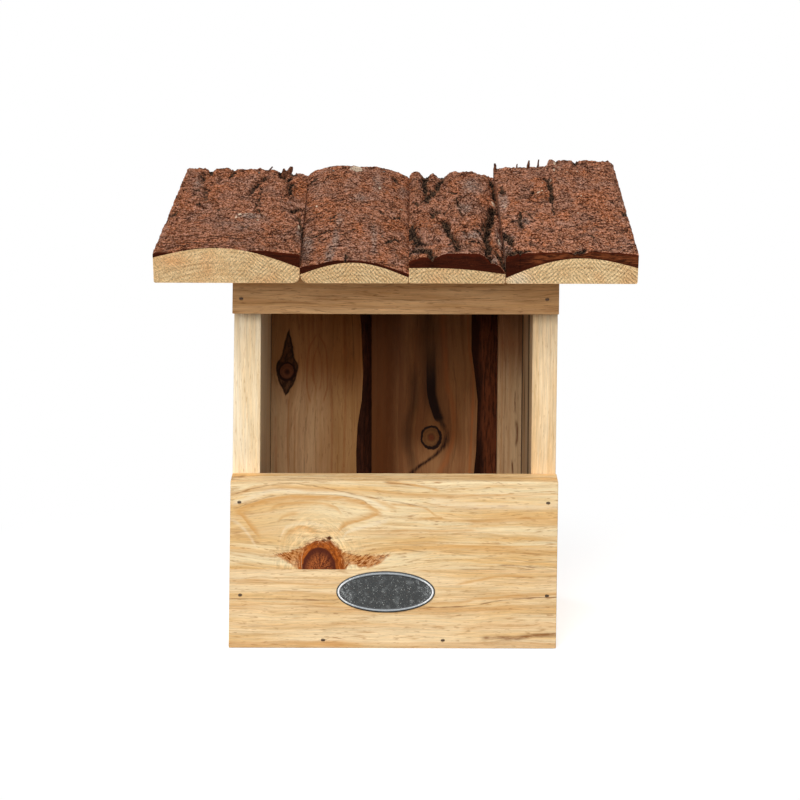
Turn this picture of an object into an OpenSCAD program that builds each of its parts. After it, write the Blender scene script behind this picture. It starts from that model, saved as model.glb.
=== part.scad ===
// Half-open nest box with a roof of bark-clad slabs, for a squirrel or a garden bird. Millimetres.
// The origin is the middle of the base. The front faces -Y, and the back goes on a wall at +Y.

/* [Box] */
// Outer width across the two side boards
box_w = 200; // [185:1:230]
// Outer depth, from the front face to the wall
box_d = 142; // [125:1:180]
// Thickness of the front, rail, side and back boards
board_t = 16; // [14:0.5:20]
// Thickness of the floor board
floor_t = 10; // [8:0.5:14]
// Height of the closed lower front
front_h = 106; // [98:1:130]
// Height of the glue line between the two front boards
glue_line_h = 49.7; // [42:0.1:60]
// Height of the open mouth above the lower front
mouth_h = 101.5; // [80:0.5:125]
// Height of the rail above the mouth, on its front face
rail_h = 32.5; // [26:0.5:42]

/* [Back boards] */
// Width of the left back board
left_board_w = 84.6; // [78:0.2:92]
// Width of the middle back board
middle_board_w = 83.8; // [78:0.2:90]
// Mean width of the waney edge on the left board
left_wane_w = 8; // [5:0.5:12]
// Mean width of the waney edge on the middle board
middle_wane_w = 15.5; // [10:0.5:18]
// How far the waney edges wander in and out
wane_swing = 2.5; // [0:0.1:4]
// How deep the waney edges reach below the inner face
wane_depth = 11; // [6:0.5:12]
// Gap between two neighbouring back boards
seam_gap = 0.2; // [0.1:0.05:0.5]
// Diameter of the hole for the wall screw
screw_hole_d = 6; // [4:0.5:8]
// Distance of the screw hole's middle below the rail's lower edge, where a driver reaches it
screw_hole_drop = 7.5; // [6:0.5:20]

/* [Roof] */
// Fall of the roof from the wall to the eave, in degrees
roof_slope = 12.6; // [8:0.2:18]
// Overhang of the roof in front of the front face
eave = 44; // [25:1:60]
// Gap between two neighbouring slabs
slab_gap = 0.4; // [0.2:0.1:0.8]
// Width of each slab at the eave, from left to right
slab_w = [85, 62.8, 55.9, 76.7]; // [50:0.1:95]
// Width of each slab at the wall
slab_wall_w = [79.8, 66.7, 55, 79.1]; // [50:0.1:95]
// How far the roof stands to the right of the box, at the eave
roof_shift = 0.9; // [-4:0.1:4]
// How far the roof stands to the right of the box, at the wall
roof_wall_shift = 3.4; // [-4:0.1:4]

/* [Slab wood] */
// Thickness at the left edge of each slab, at the eave
wood_left = [15.4, 5.4, 9.4, 3.6]; // [3:0.1:18]
// Thickness at the right edge of each slab, at the eave
wood_right = [9.3, 3.7, 5.8, 9.7]; // [3:0.1:18]
// Rise of the log's round above a line from edge to edge, at the eave
wood_crown = [8.7, 8, 1.4, 8.7]; // [0:0.1:12]
// Thickness at the left edge of each slab, at the wall
wood_wall_left = [14.5, 8.2, 9, 6]; // [3:0.1:18]
// Thickness at the right edge of each slab, at the wall
wood_wall_right = [9.3, 7, 7.4, 12.4]; // [3:0.1:18]
// Rise of the log's round above a line from edge to edge, at the wall
wood_wall_crown = [3.2, 8.6, 1, 6.4]; // [0:0.1:12]
// Radius of the lower left edge of each slab
round_left = [0.8, 5, 0.8, 0.8]; // [0.5:0.1:6]
// Radius of the lower right edge of each slab
round_right = [4.5, 0.8, 0.8, 0.8]; // [0.5:0.1:6]

/* [Bark] */
// Thickness of each slab's bark at the eave, as [share of the width from the left, thickness]
bark_eave = [
    [[0, 2.6], [0.05, 2], [0.11, 1.2], [0.18, 0.8], [0.25, 0.5], [0.32, 0.4], [0.62, 0.4], [0.65, 0.9],
        [0.72, 2.4], [0.79, 3.9], [0.855, 4.9], [0.92, 6.6], [1, 8.4]],
    [[0, 4.8], [0.07, 3.9], [0.165, 2.8], [0.26, 2.8], [0.35, 2.4], [0.45, 1.7], [0.54, 1.6], [0.63, 1.7],
        [0.73, 1.8], [0.82, 1.9], [0.915, 2.2], [1, 2.6]],
    [[0, 4.3], [0.05, 5.2], [0.1, 6.1], [0.15, 7.1], [0.21, 8], [0.3, 8.4], [0.36, 8.9], [0.42, 9.4],
        [0.52, 9.9], [0.63, 10.2], [0.73, 10.4], [0.78, 9.8], [0.82, 8.4], [0.84, 7.6], [0.89, 6.4],
        [0.945, 4.1], [1, 1.5]],
    [[0, 13.9], [0.03, 13.1], [0.07, 12.8], [0.106, 11.9], [0.143, 10.8], [0.18, 9.7], [0.257, 7.7],
        [0.33, 6.4], [0.41, 4.8], [0.48, 4.3], [0.56, 3.8], [0.63, 4.2], [0.71, 4.8], [0.785, 5.5],
        [0.86, 6.6], [0.936, 7.6], [1, 8.5]]];
// Thickness of each slab's bark at the wall, in the same form
bark_wall = [
    [[0, 4.5], [0.1, 4.6], [0.25, 3.2], [0.45, 3.6], [0.6, 4.2], [0.7, 5.4], [0.85, 6], [1, 5.4]],
    [[0, 6.6], [0.05, 7.5], [0.15, 7.7], [0.2, 7.3], [0.25, 6.4], [0.3, 5.8], [0.4, 5], [0.5, 4.6],
        [0.6, 4.7], [0.7, 6], [0.8, 6.7], [0.9, 6.5], [1, 6]],
    [[0, 3.9], [0.05, 7.9], [0.125, 7.6], [0.18, 5.4], [0.3, 5], [0.45, 5.2], [0.5, 6.4], [0.55, 7.1],
        [0.7, 7.5], [0.8, 7.3], [0.9, 6.2], [1, 5.5]],
    [[0, 16.8], [0.025, 15.4], [0.1, 14.2], [0.15, 12.9], [0.2, 11.9], [0.25, 10.9], [0.3, 10.1],
        [0.4, 9.2], [0.48, 9.2], [0.6, 8.6], [0.7, 8.2], [0.8, 9], [0.9, 10], [0.95, 10.4], [1, 9]]];
// Least bark left over the wood at the bottom of a crack
bark_least = 0.8; // [0.6:0.1:1.6]
// Height of the lumps in each slab's bark
lump_h = [0.7, 0.5, 1, 0.6]; // [0:0.1:1.6]
// Width of one lump, across the slab
lump_w = 13; // [8:0.5:24]
// Length of one lump, along the slab
lump_l = 22; // [12:1:40]
// Drop of the ledge where a flake of bark has come off the right-hand slab
ledge_h = 3.8; // [0:0.1:6]

/* [Badge] */
// Width of the oval badge
badge_w = 60.8; // [40:0.2:80]
// Height of the oval badge
badge_h = 26; // [18:0.2:28]
// Thickness of the badge at its rim
badge_t = 1; // [0.6:0.1:2]
// Depth of the sunk field inside the rim
badge_field = 0.35; // [0.2:0.05:0.5]
// Width of the raised rim
badge_rim = 1.8; // [1:0.1:3]
// Distance of the badge's middle to the right of the box's middle
badge_x = -5.5; // [-30:0.5:30]
// Height of the badge's middle above the base
badge_z = 35.8; // [28:0.2:45]

/* [Brads] */
// Diameter of a brad's shank
brad_d = 1.25; // [1:0.05:1.6]
// Width of a brad's head
brad_head_w = 2.3; // [1.8:0.1:3]
// Thickness of a brad's head
brad_head_t = 0.8; // [0.5:0.1:1.2]
// Length of the brads in the box
brad_len = 30; // [24:1:36]
// Length of the brads in the roof
roof_brad_len = 40; // [34:1:44]
// How far a brad's head is driven below the face
brad_set = 0.5; // [0.2:0.1:1]
// Play between a brad and its hole
brad_play = 0.05; // [0.02:0.01:0.1]
// Distance of the front and back brads from the side of the box
brad_inset = 5.5; // [4:0.5:8]
// Distance of the rail's brads from the side of the box
rail_brad_inset = 7.7; // [5:0.1:10]
// Height of the lower pair of front brads
front_brad_low = 33.4; // [20:0.2:38]
// Distance of the upper pair of front brads below the front's upper edge
front_brad_drop = 14.4; // [8:0.2:20]
// Height of the rail's brads above its lower edge
rail_brad_rise = 9.2; // [6:0.2:16]

/* [Hidden] */

$fn = 48;
through = 1;            // how far a cutter runs past the face that it cuts
pine = "#E6C68C";
shaded_pine = "#B08A5C";
bark_brown = "#7A4A36";
steel = "#B9BCC0";

y_face = -box_d / 2;            // front face of the lower front and the rail
y_wall = box_d / 2;             // back face, on the wall
y_side = y_face + board_t;      // front edges of the side boards
y_back = y_wall - board_t;      // inner face of the back boards
x_in = box_w / 2 - board_t;     // inner face of the right side board
rail_z = front_h + mouth_h;     // lower edge of the rail
roof_z = rail_z + rail_h;       // underside of the roof at the front face

// Height of the roof's flat underside at depth y
function under_roof(y) = roof_z + (y - y_face) * tan(roof_slope);

// Puts its children on the roof's underside: x across the box, y up the slope from the eave, z out of it
module on_roof() {
    translate([0, y_face - eave, under_roof(y_face - eave)]) rotate([roof_slope, 0, 0]) children();
}

// A place on a slab is given by its slab number i, its share u of the width from the left edge, and its
// share v of the length from the eave. The slabs lie side by side, and each is a little wider at one end.
slabs = [0 : len(slab_w) - 1];
slab_len = (box_d + eave) / cos(roof_slope);
function blend(a, b, t) = a * (1 - t) + b * t;
function sum_before(list, i) = i == 0 ? 0 : sum_before(list, i - 1) + list[i - 1];
function first_x(list, shift) = shift - (sum_before(list, len(list)) + (len(list) - 1) * slab_gap) / 2;
function left_x(i, v) = i * slab_gap + blend(
    first_x(slab_w, roof_shift) + sum_before(slab_w, i),
    first_x(slab_wall_w, roof_wall_shift) + sum_before(slab_wall_w, i), v);
function width(i, v) = blend(slab_w[i], slab_wall_w[i], v);

// Height of the wood over the underside: a sawn flat below, and the round of the log on top
function arch(left, right, crown, u) = blend(left, right, u) + crown * sin(180 * u);
function wood_top(i, u, v) = blend(arch(wood_left[i], wood_right[i], wood_crown[i], u),
    arch(wood_wall_left[i], wood_wall_right[i], wood_wall_crown[i], u), v);

// Thickness of the bark before it breaks up
function bark_base(i, u, v) = blend(lookup(u, bark_eave[i]), lookup(u, bark_wall[i]), v);

// The bark rises and falls in lumps that wander a little to the sides
function lumps(i, x, y) = let (
    across = x + 3 * sin(17 * y + 40 * i),
    along = y + 5 * sin(23 * x + 70 * i))
    lump_h[i] * (0.6 * sin(360 * across / lump_w + 90 * i) * sin(360 * along / lump_l)
        + 0.4 * sin(360 * (across + 0.6 * along) / (1.7 * lump_w) + 50 * i));

// Deep cracks: [slab, depth, half-width, points as [x from the left edge, y up the slope]]
cracks = [
    [0, 1.8, 2.6, [[11, 182.2], [14.4, 154.8], [17.5, 130.3], [21.4, 110.6]]],
    [0, 1.6, 1.2, [[32.1, 183.3], [30.2, 167.2]]],
    [0, 3.2, 1.8, [[53.5, 171], [51.1, 158.4], [48.2, 145.6], [46.5, 127.5]]],
    [0, 1.0, 1.0, [[52.5, 140.6], [54.1, 118.5], [53.1, 106.6], [52.5, 90.2]]],
    [0, 1.2, 0.9, [[55.2, 87.7], [58.2, 71.7]]], [0, 3.5, 1.8, [[63.9, 171.2], [65, 185]]],
    [0, 2.4, 1.4, [[67, 164.8], [70.1, 177.5]]], [0, 4.5, 2.2, [[70.6, 159.4], [70.1, 146.1], [71.6, 131.9]]],
    [0, 5.0, 2.8, [[75.6, 97.5], [78.3, 104.2]]], [0, 5.0, 2.4, [[79.5, 83.3], [80.5, 76.8]]],
    [0, 3.0, 1.8, [[82.3, 66.2], [85, 39.8]]], [0, 2.4, 1.8, [[2.2, 79.7], [4, 85.7]]],
    [0, 2.4, 2.0, [[-1.2, 67.4], [0.1, 71.7]]], [0, 1.2, 1.0, [[15.9, 96.9], [16.9, 111]]],
    [0, 1.0, 1.0, [[28.9, 85], [31.6, 89.3]]], [0, 1.2, 1.4, [[11.3, 135], [13.4, 139.9]]],
    [0, 1.0, 1.1, [[48.4, 50.4], [50.9, 49.3]]],
    [1, 1.0, 0.8, [[2, 54.2], [8.7, 53], [13.6, 55.3], [19, 58.3]]], [1, 0.9, 0.8, [[10.2, 43], [14.4, 43.5]]],
    [1, 0.9, 0.8, [[14.3, 79.7], [18, 82], [21.6, 90.8]]], [1, 0.9, 0.7, [[16.3, 72.9], [20.5, 79.2]]],
    [1, 0.8, 0.8, [[22.7, 47.6], [26.9, 49.5]]], [1, 0.7, 0.8, [[27.5, 57.1], [32.3, 57.6]]],
    [1, 0.7, 0.7, [[34.1, 77.2], [37.7, 82.1]]],
    [1, 1.5, 1.0, [[46.5, 99], [50.2, 93.9], [54.5, 90.5], [60.2, 99.1]]],
    [1, 0.8, 0.8, [[45.6, 54.7], [48.6, 55.1]]], [1, 1.0, 0.9, [[49.1, 41], [52.8, 46.2], [57.1, 52.4]]],
    [1, 1.2, 1.2, [[56.1, 173], [59.9, 165.3]]], [1, 1.0, 1.0, [[1.6, 167.3], [6.2, 171.5]]],
    [1, 1.0, 1.0, [[11, 159.8], [13.4, 171.3]]], [1, 1.6, 0.9, [[25.7, -3.7], [26.7, 9.1]]],
    [1, 0.8, 1.0, [[40.8, 75.1], [42.6, 70]]], [2, 3.6, 2.2, [[9.8, 184], [10.3, 150.2], [11.4, 124.8]]],
    [2, 3.2, 2.4, [[19.6, 174.1], [18.1, 158.2], [13.4, 137.4], [8.2, 120.4]]],
    [2, 6.0, 2.8, [[16.8, 100], [21.2, 98.9]]], [2, 3.0, 1.8, [[14.9, 92.9], [14.8, 83.4]]],
    [2, 7.0, 2.6, [[21, 82], [22.6, 67.3], [23.5, 50.8], [25.7, 39], [27.9, 29.4]]],
    [2, 4.0, 1.8, [[28.5, 27.1], [28.1, 10]]],
    [2, 6.0, 3.2, [[0.6, 71.9], [1.8, 56.2], [4.2, 40.8], [7.2, 32.2]]],
    [2, 4.0, 2.6, [[0.7, 19.5], [4.8, 18.5], [9.5, 16.3], [12.9, 3.7], [17.3, -7.4]]],
    [2, 4.5, 1.8, [[52.9, 182.3], [54.1, 160.4], [54, 140.2]]], [2, 4.0, 1.6, [[49.9, 134.4], [53.7, 133.2]]],
    [2, 5.5, 3.0, [[52.6, 120.4], [50.6, 99.4], [47.9, 75], [45.2, 50.4]]],
    [2, 5.5, 3.2, [[46.3, 46.5], [46.2, 25.4], [46.7, 6.6]]],
    [2, 4.5, 2.2, [[51.2, 31.8], [53.2, 21.4], [55.1, 8]]],
    [2, 1.8, 1.0, [[29.1, 122.1], [31.2, 102], [32.1, 83.1]]], [2, 1.2, 1.0, [[25.6, 138], [30.1, 136.7]]],
    [2, 1.0, 0.8, [[39.1, 47.8], [44.1, 54.6]]], [2, 0.9, 0.8, [[31.2, 44.5], [34.8, 44.8]]],
    [2, 0.9, 0.7, [[35.5, 23.3], [42.7, 26.5]]], [2, 0.8, 0.7, [[20.7, 20.5], [31.2, 18.5]]],
    [2, 1.4, 1.2, [[1.8, 121.6], [6.2, 107.9]]],
    [3, 3.2, 2.2, [[33.4, 159.5], [33.4, 139.1], [33.4, 119.2], [33, 104.2]]],
    [3, 2.2, 1.8, [[3.2, 136.1], [3.2, 122.8]]], [3, 2.0, 1.2, [[12.9, 79.3], [10.8, 62.9], [11.8, 46.8]]],
    [3, 1.6, 1.3, [[5.2, 60], [9.1, 65]]], [3, 4.5, 1.6, [[-1.5, 44.6], [1.6, 35.1], [4.4, 19.5]]],
    [3, 3.5, 1.4, [[-1.7, -0.1], [3.3, 7.5], [8.4, 6.4]]], [3, 2.5, 1.2, [[3, 2.2], [8.8, 2.7], [14.2, 6.2]]],
    [3, 2.0, 1.6, [[40, 1.1], [45.4, 2.9]]], [3, 1.2, 1.0, [[48, 34.5], [53.9, 27.1]]],
    [3, 1.3, 1.1, [[70.1, 99.2], [73.7, 91.8]]], [3, 2.4, 1.8, [[76, 77.3], [78.5, 83]]],
    [3, 1.2, 1.2, [[20.7, 119.4], [22.7, 121.3]]],
    [0, 2.8, 1.8, [[16.2, 192], [16.4, 178]]],
    [0, 1.4, 1.4, [[30.2, 192], [31.6, 182]]],
    [0, 2.6, 2.2, [[61.6, 192], [63, 176]]],
    [0, 2.2, 2, [[70, 192], [71.6, 182]]],
    [2, 3.6, 3, [[10, 192], [9.8, 182]]],
    [2, 3.2, 3.4, [[21.4, 192], [20, 172]]],
    [3, 1.8, 1.4, [[53.4, 192], [53.6, 182]]],
    [3, 1.4, 1.6, [[41.5, 192], [41.8, 184]]]];

// Distance from p to the stretch from a to b
function to_stretch(p, a, b) = let (t = max(0, min(1, ((p - a) * (b - a)) / ((b - a) * (b - a)))))
    norm(p - a - t * (b - a));
function crack_depth(i, x, y) = max(concat([0], [for (c = cracks) if (c[0] == i)
    let (line = c[3], off = min([for (k = [1 : len(line) - 1]) to_stretch([x, y], line[k - 1], line[k])]))
    c[1] * exp(-pow(off / c[2], 2))]));

// The flake that has come off lay left of ledge_u and behind ledge_v, on the last slab
ledge_u = 0.475;
ledge_v = 0.72;
ledge_edge = 2.5;       // width of the ledge's steep side
ledge_fade = 30;        // length over which it runs out towards the eave
function step(from, to, t) = let (s = max(0, min(1, (t - from) / (to - from)))) s * s * (3 - 2 * s);
function ledge(i, x, y) = i < len(slab_w) - 1 ? 0 : ledge_h
    * step(0, ledge_edge, ledge_u * slab_w[i] - x)
    * step(0, ledge_fade, y - ledge_v * slab_len);

function bark_top(i, u, v) = let (x = u * width(i, v), y = v * slab_len)
    wood_top(i, u, v)
    + max(bark_least, bark_base(i, u, v) + lumps(i, x, y) - crack_depth(i, x, y) - ledge(i, x, y));

// The wood and bark of a slab share lines from the eave to the wall, each given as
// [distance right of the left edge, share of the width, height of the wood's lower side there].
// A large lower edge is an arc, and a small one is a bevel.
u_steps = 24;
v_steps = 60;
arc_steps = 4;
function edge_arc(r) = let (n = r > 2 ? arc_steps : 1)
    [for (k = [0 : n - 1]) [r * (1 - cos(90 * k / n)), r * (1 - sin(90 * k / n))]];
function lines(i) = let (
    left = min(round_left[i], wood_left[i] - 0.3, wood_wall_left[i] - 0.3),
    right = min(round_right[i], wood_right[i] - 0.3, wood_wall_right[i] - 0.3),
    left_arc = edge_arc(left),
    right_arc = edge_arc(right)) concat(
    [for (p = left_arc) [p[0], 0, p[1]]],
    [for (k = [0 : u_steps]) [blend(left, -right, k / u_steps), k / u_steps, 0]],
    [for (k = [len(right_arc) - 1 : -1 : 0]) [-right_arc[k][0], 1, right_arc[k][1]]]);
function line_x(i, line, v) = left_x(i, v) + line[0] + line[1] * width(i, v);
function line_u(i, line, v) = line[0] / width(i, v) + line[1];
function wood_line(i, line, v) = blend(
    wood_top(i, line_u(i, line, 0), 0), wood_top(i, line_u(i, line, 1), 1), v);

// Faces between two heights over the same grid of points, with columns left to right and rows front to
// back. Seen from above, all run clockwise.
function grid_faces(cols, rows) = [for (j = [0 : rows - 2]) for (k = [0 : cols - 2]) let (a = j * cols + k)
    each [[a, a + cols + 1, a + 1], [a, a + cols, a + cols + 1]]];

// The same for a surface ruled from the first row to the last. Only its two outer lines have points between.
function ruled_faces(cols, rows) = [for (k = [0 : cols - 2]) let (
    on_left = k < (cols - 1) / 2,
    inner = on_left ? k + 1 : k,
    outer = on_left ? k : k + 1,
    last = (rows - 1) * cols,
    stops = k == 0 || k == cols - 2 ? [0 : 1 : rows - 2] : [0],
    hop = k == 0 || k == cols - 2 ? cols : last)
    each concat(
        [on_left ? [inner, outer, inner + last] : [inner, inner + last, outer]],
        [for (j = stops) let (a = outer + j * cols) on_left ? [inner + last, a, a + hop]
            : [inner + last, a + hop, a]])];

function rim(cols, rows) = let (last = (rows - 1) * cols) concat(
    [for (k = [0 : cols - 1]) k],
    [for (j = [1 : rows - 1]) j * cols + cols - 1],
    [for (k = [cols - 2 : -1 : 0]) last + k],
    [for (j = [rows - 2 : -1 : 1]) j * cols]);

// A closed block from the points below to the points above
module block(cols, rows, below, above, faces_above) {
    count = cols * rows;
    edge = rim(cols, rows);
    polyhedron(concat(above, below), concat(faces_above,
        [for (f = ruled_faces(cols, rows)) [f[0], f[2], f[1]] + count * [1, 1, 1]],
        [for (k = [0 : len(edge) - 1]) let (a = edge[k], b = edge[(k + 1) % len(edge)])
            each [[a, b, b + count], [a, b + count, a + count]]]));
}

// A brad: driven along +Z from the origin, its head set below the face at z = 0
module brad(length, play = 0) {
    open = play > 0 ? brad_set + 3 * through : 0;
    translate([0, 0, brad_set])
        cylinder(d = brad_d + 2 * play, h = length - brad_set);
    translate([-brad_head_w / 2 - play, -brad_d / 2 - play, brad_set - open])
        cube([brad_head_w + 2 * play, brad_d + 2 * play, brad_head_t + open]);
}

// Where each group of brads goes. Each place serves the brads and their holes.
x_brad = box_w / 2 - brad_inset;
x_rail_brad = box_w / 2 - rail_brad_inset;
z_floor_brad = floor_t / 2;
front_places = concat(
    [for (side = [-1, 1]) for (z = [front_brad_low, front_h - front_brad_drop]) [side * x_brad, z]],
    [for (share = [-0.2175, 0.1525]) [share * box_w, z_floor_brad]]);
back_places = concat(
    [for (side = [-1, 1]) for (share = [0.18, 0.52, 0.86]) [side * x_brad, rail_z * share]],
    [for (share = [-0.3, 0.05, 0.22, 0.39]) [share * box_w, z_floor_brad]]);

module front_brad_set(play = 0) {
    for (place = front_places)
        translate([place[0], y_face, place[1]]) rotate([-90, 0, 0]) brad(brad_len, play);
}

module rail_brad_set(play = 0) {
    for (side = [-1, 1])
        translate([side * x_rail_brad, y_face, rail_z + rail_brad_rise]) rotate([-90, 0, 0])
            brad(brad_len, play);
}

module back_brad_set(play = 0) {
    for (place = back_places)
        translate([place[0], y_wall, place[1]]) rotate([90, 0, 0]) brad(brad_len, play);
}

module side_brad_set(play = 0) {
    for (side = [-1, 1]) for (share = [-0.25, 0.25])
        translate([side * box_w / 2, share * box_d, z_floor_brad]) rotate([0, -90 * side, 0])
            brad(brad_len, play);
}

// Each slab has two brads into the rail and two into the back boards, a quarter in from both ends of its
// stretch over the box
rail_row = (eave + board_t * 0.4) / (box_d + eave);
wall_row = (eave + box_d - board_t * 0.6) / (box_d + eave);
module roof_brad_set(play = 0) {
    on_roof() for (i = slabs) for (v = [rail_row, wall_row]) for (share = [0.25, 0.75]) {
        from = max(left_x(i, v), -box_w / 2);
        to = min(left_x(i, v) + width(i, v), box_w / 2);
        x = blend(from, to, share);
        translate([x, v * slab_len, bark_top(i, (x - left_x(i, v)) / width(i, v), v)])
            mirror([0, 0, 1]) rotate([0, 0, 90]) brad(roof_brad_len, play);
    }
}

// Waney edge: the log's own surface, which wanders along the board. The cutter hangs at x = 0 on the
// board's right edge, with the board's inner face at y = 0.
wane_rows = 16;
wane_turn = 2.65;       // degrees of wandering per millimetre of height
module wane_cutter(wane_w, phase, height) {
    zs = [for (k = [0 : wane_rows]) -through + k * (height + 2 * through) / wane_rows];
    points = [for (z = zs) let (w = wane_w + wane_swing * (sin(wane_turn * z + phase) + 0.2 * sin(7 * z)))
        each [[-w, -through, z], [-w, 0, z], [-w * 0.55, wane_depth * 0.3, z],
            [through, wane_depth, z], [through, -through, z]]];
    sides = [for (k = [0 : wane_rows - 1]) for (s = [0 : 4]) let (a = k * 5 + s, b = k * 5 + (s + 1) % 5)
        each [[a, b, b + 5], [a, b + 5, a + 5]]];
    polyhedron(points, concat([[0, 2, 1], [0, 3, 2], [0, 4, 3]],
        [for (t = [[0, 1, 2], [0, 2, 3], [0, 3, 4]]) t + [1, 1, 1] * wane_rows * 5], sides));
}

// A board in the back wall, from one x to another, cut to the roof's slope at the top
module back_plank(from, to) {
    translate([from, 0, 0]) rotate([90, 0, 90]) linear_extrude(to - from)
        polygon([[y_back, 0], [y_wall, 0], [y_wall, under_roof(y_wall)], [y_back, under_roof(y_back)]]);
}
x_left_seam = -box_w / 2 + left_board_w;
x_right_seam = x_left_seam + seam_gap + middle_board_w;

module front_board_upper() {
    color(pine) difference() {
        translate([-box_w / 2, y_face, glue_line_h]) cube([box_w, board_t, front_h - glue_line_h]);
        front_brad_set(brad_play);
    }
}

module front_board_lower() {
    color(pine) difference() {
        translate([-box_w / 2, y_face, 0]) cube([box_w, board_t, glue_line_h]);
        front_brad_set(brad_play);
    }
}

module top_rail() {
    color(shaded_pine) difference() {
        translate([-box_w / 2, 0, 0]) rotate([90, 0, 90]) linear_extrude(box_w)
            polygon([[y_face, rail_z], [y_side, rail_z], [y_side, under_roof(y_side)], [y_face, roof_z]]);
        rail_brad_set(brad_play);
        roof_brad_set(brad_play);
    }
}

module side_board(side) {
    color(pine) difference() {
        translate([side > 0 ? x_in : -box_w / 2, 0, 0]) rotate([90, 0, 90]) linear_extrude(board_t)
            polygon([[y_side, 0], [y_back, 0], [y_back, under_roof(y_back)], [y_side, under_roof(y_side)]]);
        front_brad_set(brad_play);
        rail_brad_set(brad_play);
        back_brad_set(brad_play);
        side_brad_set(brad_play);
    }
}

module back_board_left() {
    color(shaded_pine) difference() {
        back_plank(-box_w / 2, x_left_seam);
        translate([x_left_seam, y_back, 0]) wane_cutter(left_wane_w, 206, under_roof(y_wall));
        back_brad_set(brad_play);
        roof_brad_set(brad_play);
    }
}

module back_board_middle() {
    color(shaded_pine) difference() {
        back_plank(x_left_seam + seam_gap, x_right_seam);
        translate([x_right_seam, y_back, 0]) wane_cutter(middle_wane_w, -53, under_roof(y_wall));
        back_brad_set(brad_play);
        roof_brad_set(brad_play);
        translate([0, y_wall + through, rail_z - screw_hole_drop]) rotate([90, 0, 0])
            cylinder(d = screw_hole_d, h = board_t + 2 * through);
    }
}

module back_board_right() {
    color(shaded_pine) difference() {
        back_plank(x_right_seam + seam_gap, box_w / 2);
        back_brad_set(brad_play);
        roof_brad_set(brad_play);
    }
}

module floor_board() {
    color(shaded_pine) difference() {
        translate([-x_in, y_side, 0]) cube([2 * x_in, y_back - y_side, floor_t]);
        front_brad_set(brad_play);
        back_brad_set(brad_play);
        side_brad_set(brad_play);
    }
}

// The sawn wood of slab i
module roof_slab(i) {
    all = lines(i);
    ends = [0, 1];
    color(pine) difference() {
        on_roof() block(len(all), 2,
            [for (v = ends) for (line = all) [line_x(i, line, v), v * slab_len, line[2]]],
            [for (v = ends) for (line = all) [line_x(i, line, v), v * slab_len, wood_line(i, line, v)]],
            ruled_faces(len(all), 2));
        roof_brad_set(brad_play);
    }
}

// The bark of slab i: it lies on the wood's round, with lumps and cracks on top
module roof_bark(i) {
    all = lines(i);
    rows = [for (j = [0 : v_steps]) j / v_steps];
    color(bark_brown) difference() {
        on_roof() block(len(all), len(rows),
            [for (v = rows) for (line = all) [line_x(i, line, v), v * slab_len, wood_line(i, line, v)]],
            [for (v = rows) for (line = all) [line_x(i, line, v), v * slab_len,
                bark_top(i, line_u(i, line, v), v)]],
            grid_faces(len(all), len(rows)));
        roof_brad_set(brad_play);
    }
}

// Sheet metal badge with a raised rim round a bare field
module oval(w, h) {
    polygon([for (a = [0 : 6 : 354]) [w / 2 * cos(a), h / 2 * sin(a)]]);
}
module oval_badge() {
    color("#3C3F40") translate([badge_x, y_face, badge_z]) rotate([90, 0, 0]) difference() {
        linear_extrude(badge_t) oval(badge_w, badge_h);
        translate([0, 0, badge_t - badge_field]) linear_extrude(badge_field + through)
            oval(badge_w - 2 * badge_rim, badge_h - 2 * badge_rim);
    }
}

front_board_upper();
front_board_lower();
top_rail();
side_board(-1);  // side_left
side_board(1);  // side_right
back_board_left();
back_board_middle();
back_board_right();
floor_board();
for (i = slabs) roof_slab(i);
for (i = slabs) roof_bark(i);
oval_badge();
color(steel) front_brad_set();  // front_brads
color(steel) rail_brad_set();  // rail_brads
color(steel) back_brad_set();  // back_brads
color(steel) side_brad_set();  // side_brads
color(steel) roof_brad_set();  // roof_brads
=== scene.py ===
import math

import bmesh
import bpy
from mathutils import Euler, Matrix, Vector, noise


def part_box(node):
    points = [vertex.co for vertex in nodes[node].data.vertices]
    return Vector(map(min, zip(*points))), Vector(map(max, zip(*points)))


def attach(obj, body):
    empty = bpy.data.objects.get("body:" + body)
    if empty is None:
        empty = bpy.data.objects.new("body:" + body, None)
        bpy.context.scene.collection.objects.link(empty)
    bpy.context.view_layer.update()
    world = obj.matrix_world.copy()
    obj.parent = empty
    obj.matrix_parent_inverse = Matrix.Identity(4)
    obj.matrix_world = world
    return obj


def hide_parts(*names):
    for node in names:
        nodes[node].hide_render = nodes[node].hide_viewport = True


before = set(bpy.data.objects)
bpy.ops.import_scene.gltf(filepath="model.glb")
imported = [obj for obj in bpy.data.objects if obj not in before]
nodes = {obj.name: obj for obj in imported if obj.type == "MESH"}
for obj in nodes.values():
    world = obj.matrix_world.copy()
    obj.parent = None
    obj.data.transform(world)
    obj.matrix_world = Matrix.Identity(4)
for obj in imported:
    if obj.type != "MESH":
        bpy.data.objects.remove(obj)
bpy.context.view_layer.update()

mm = 0.001
print("frame loaded:", len(nodes), "nodes")


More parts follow.
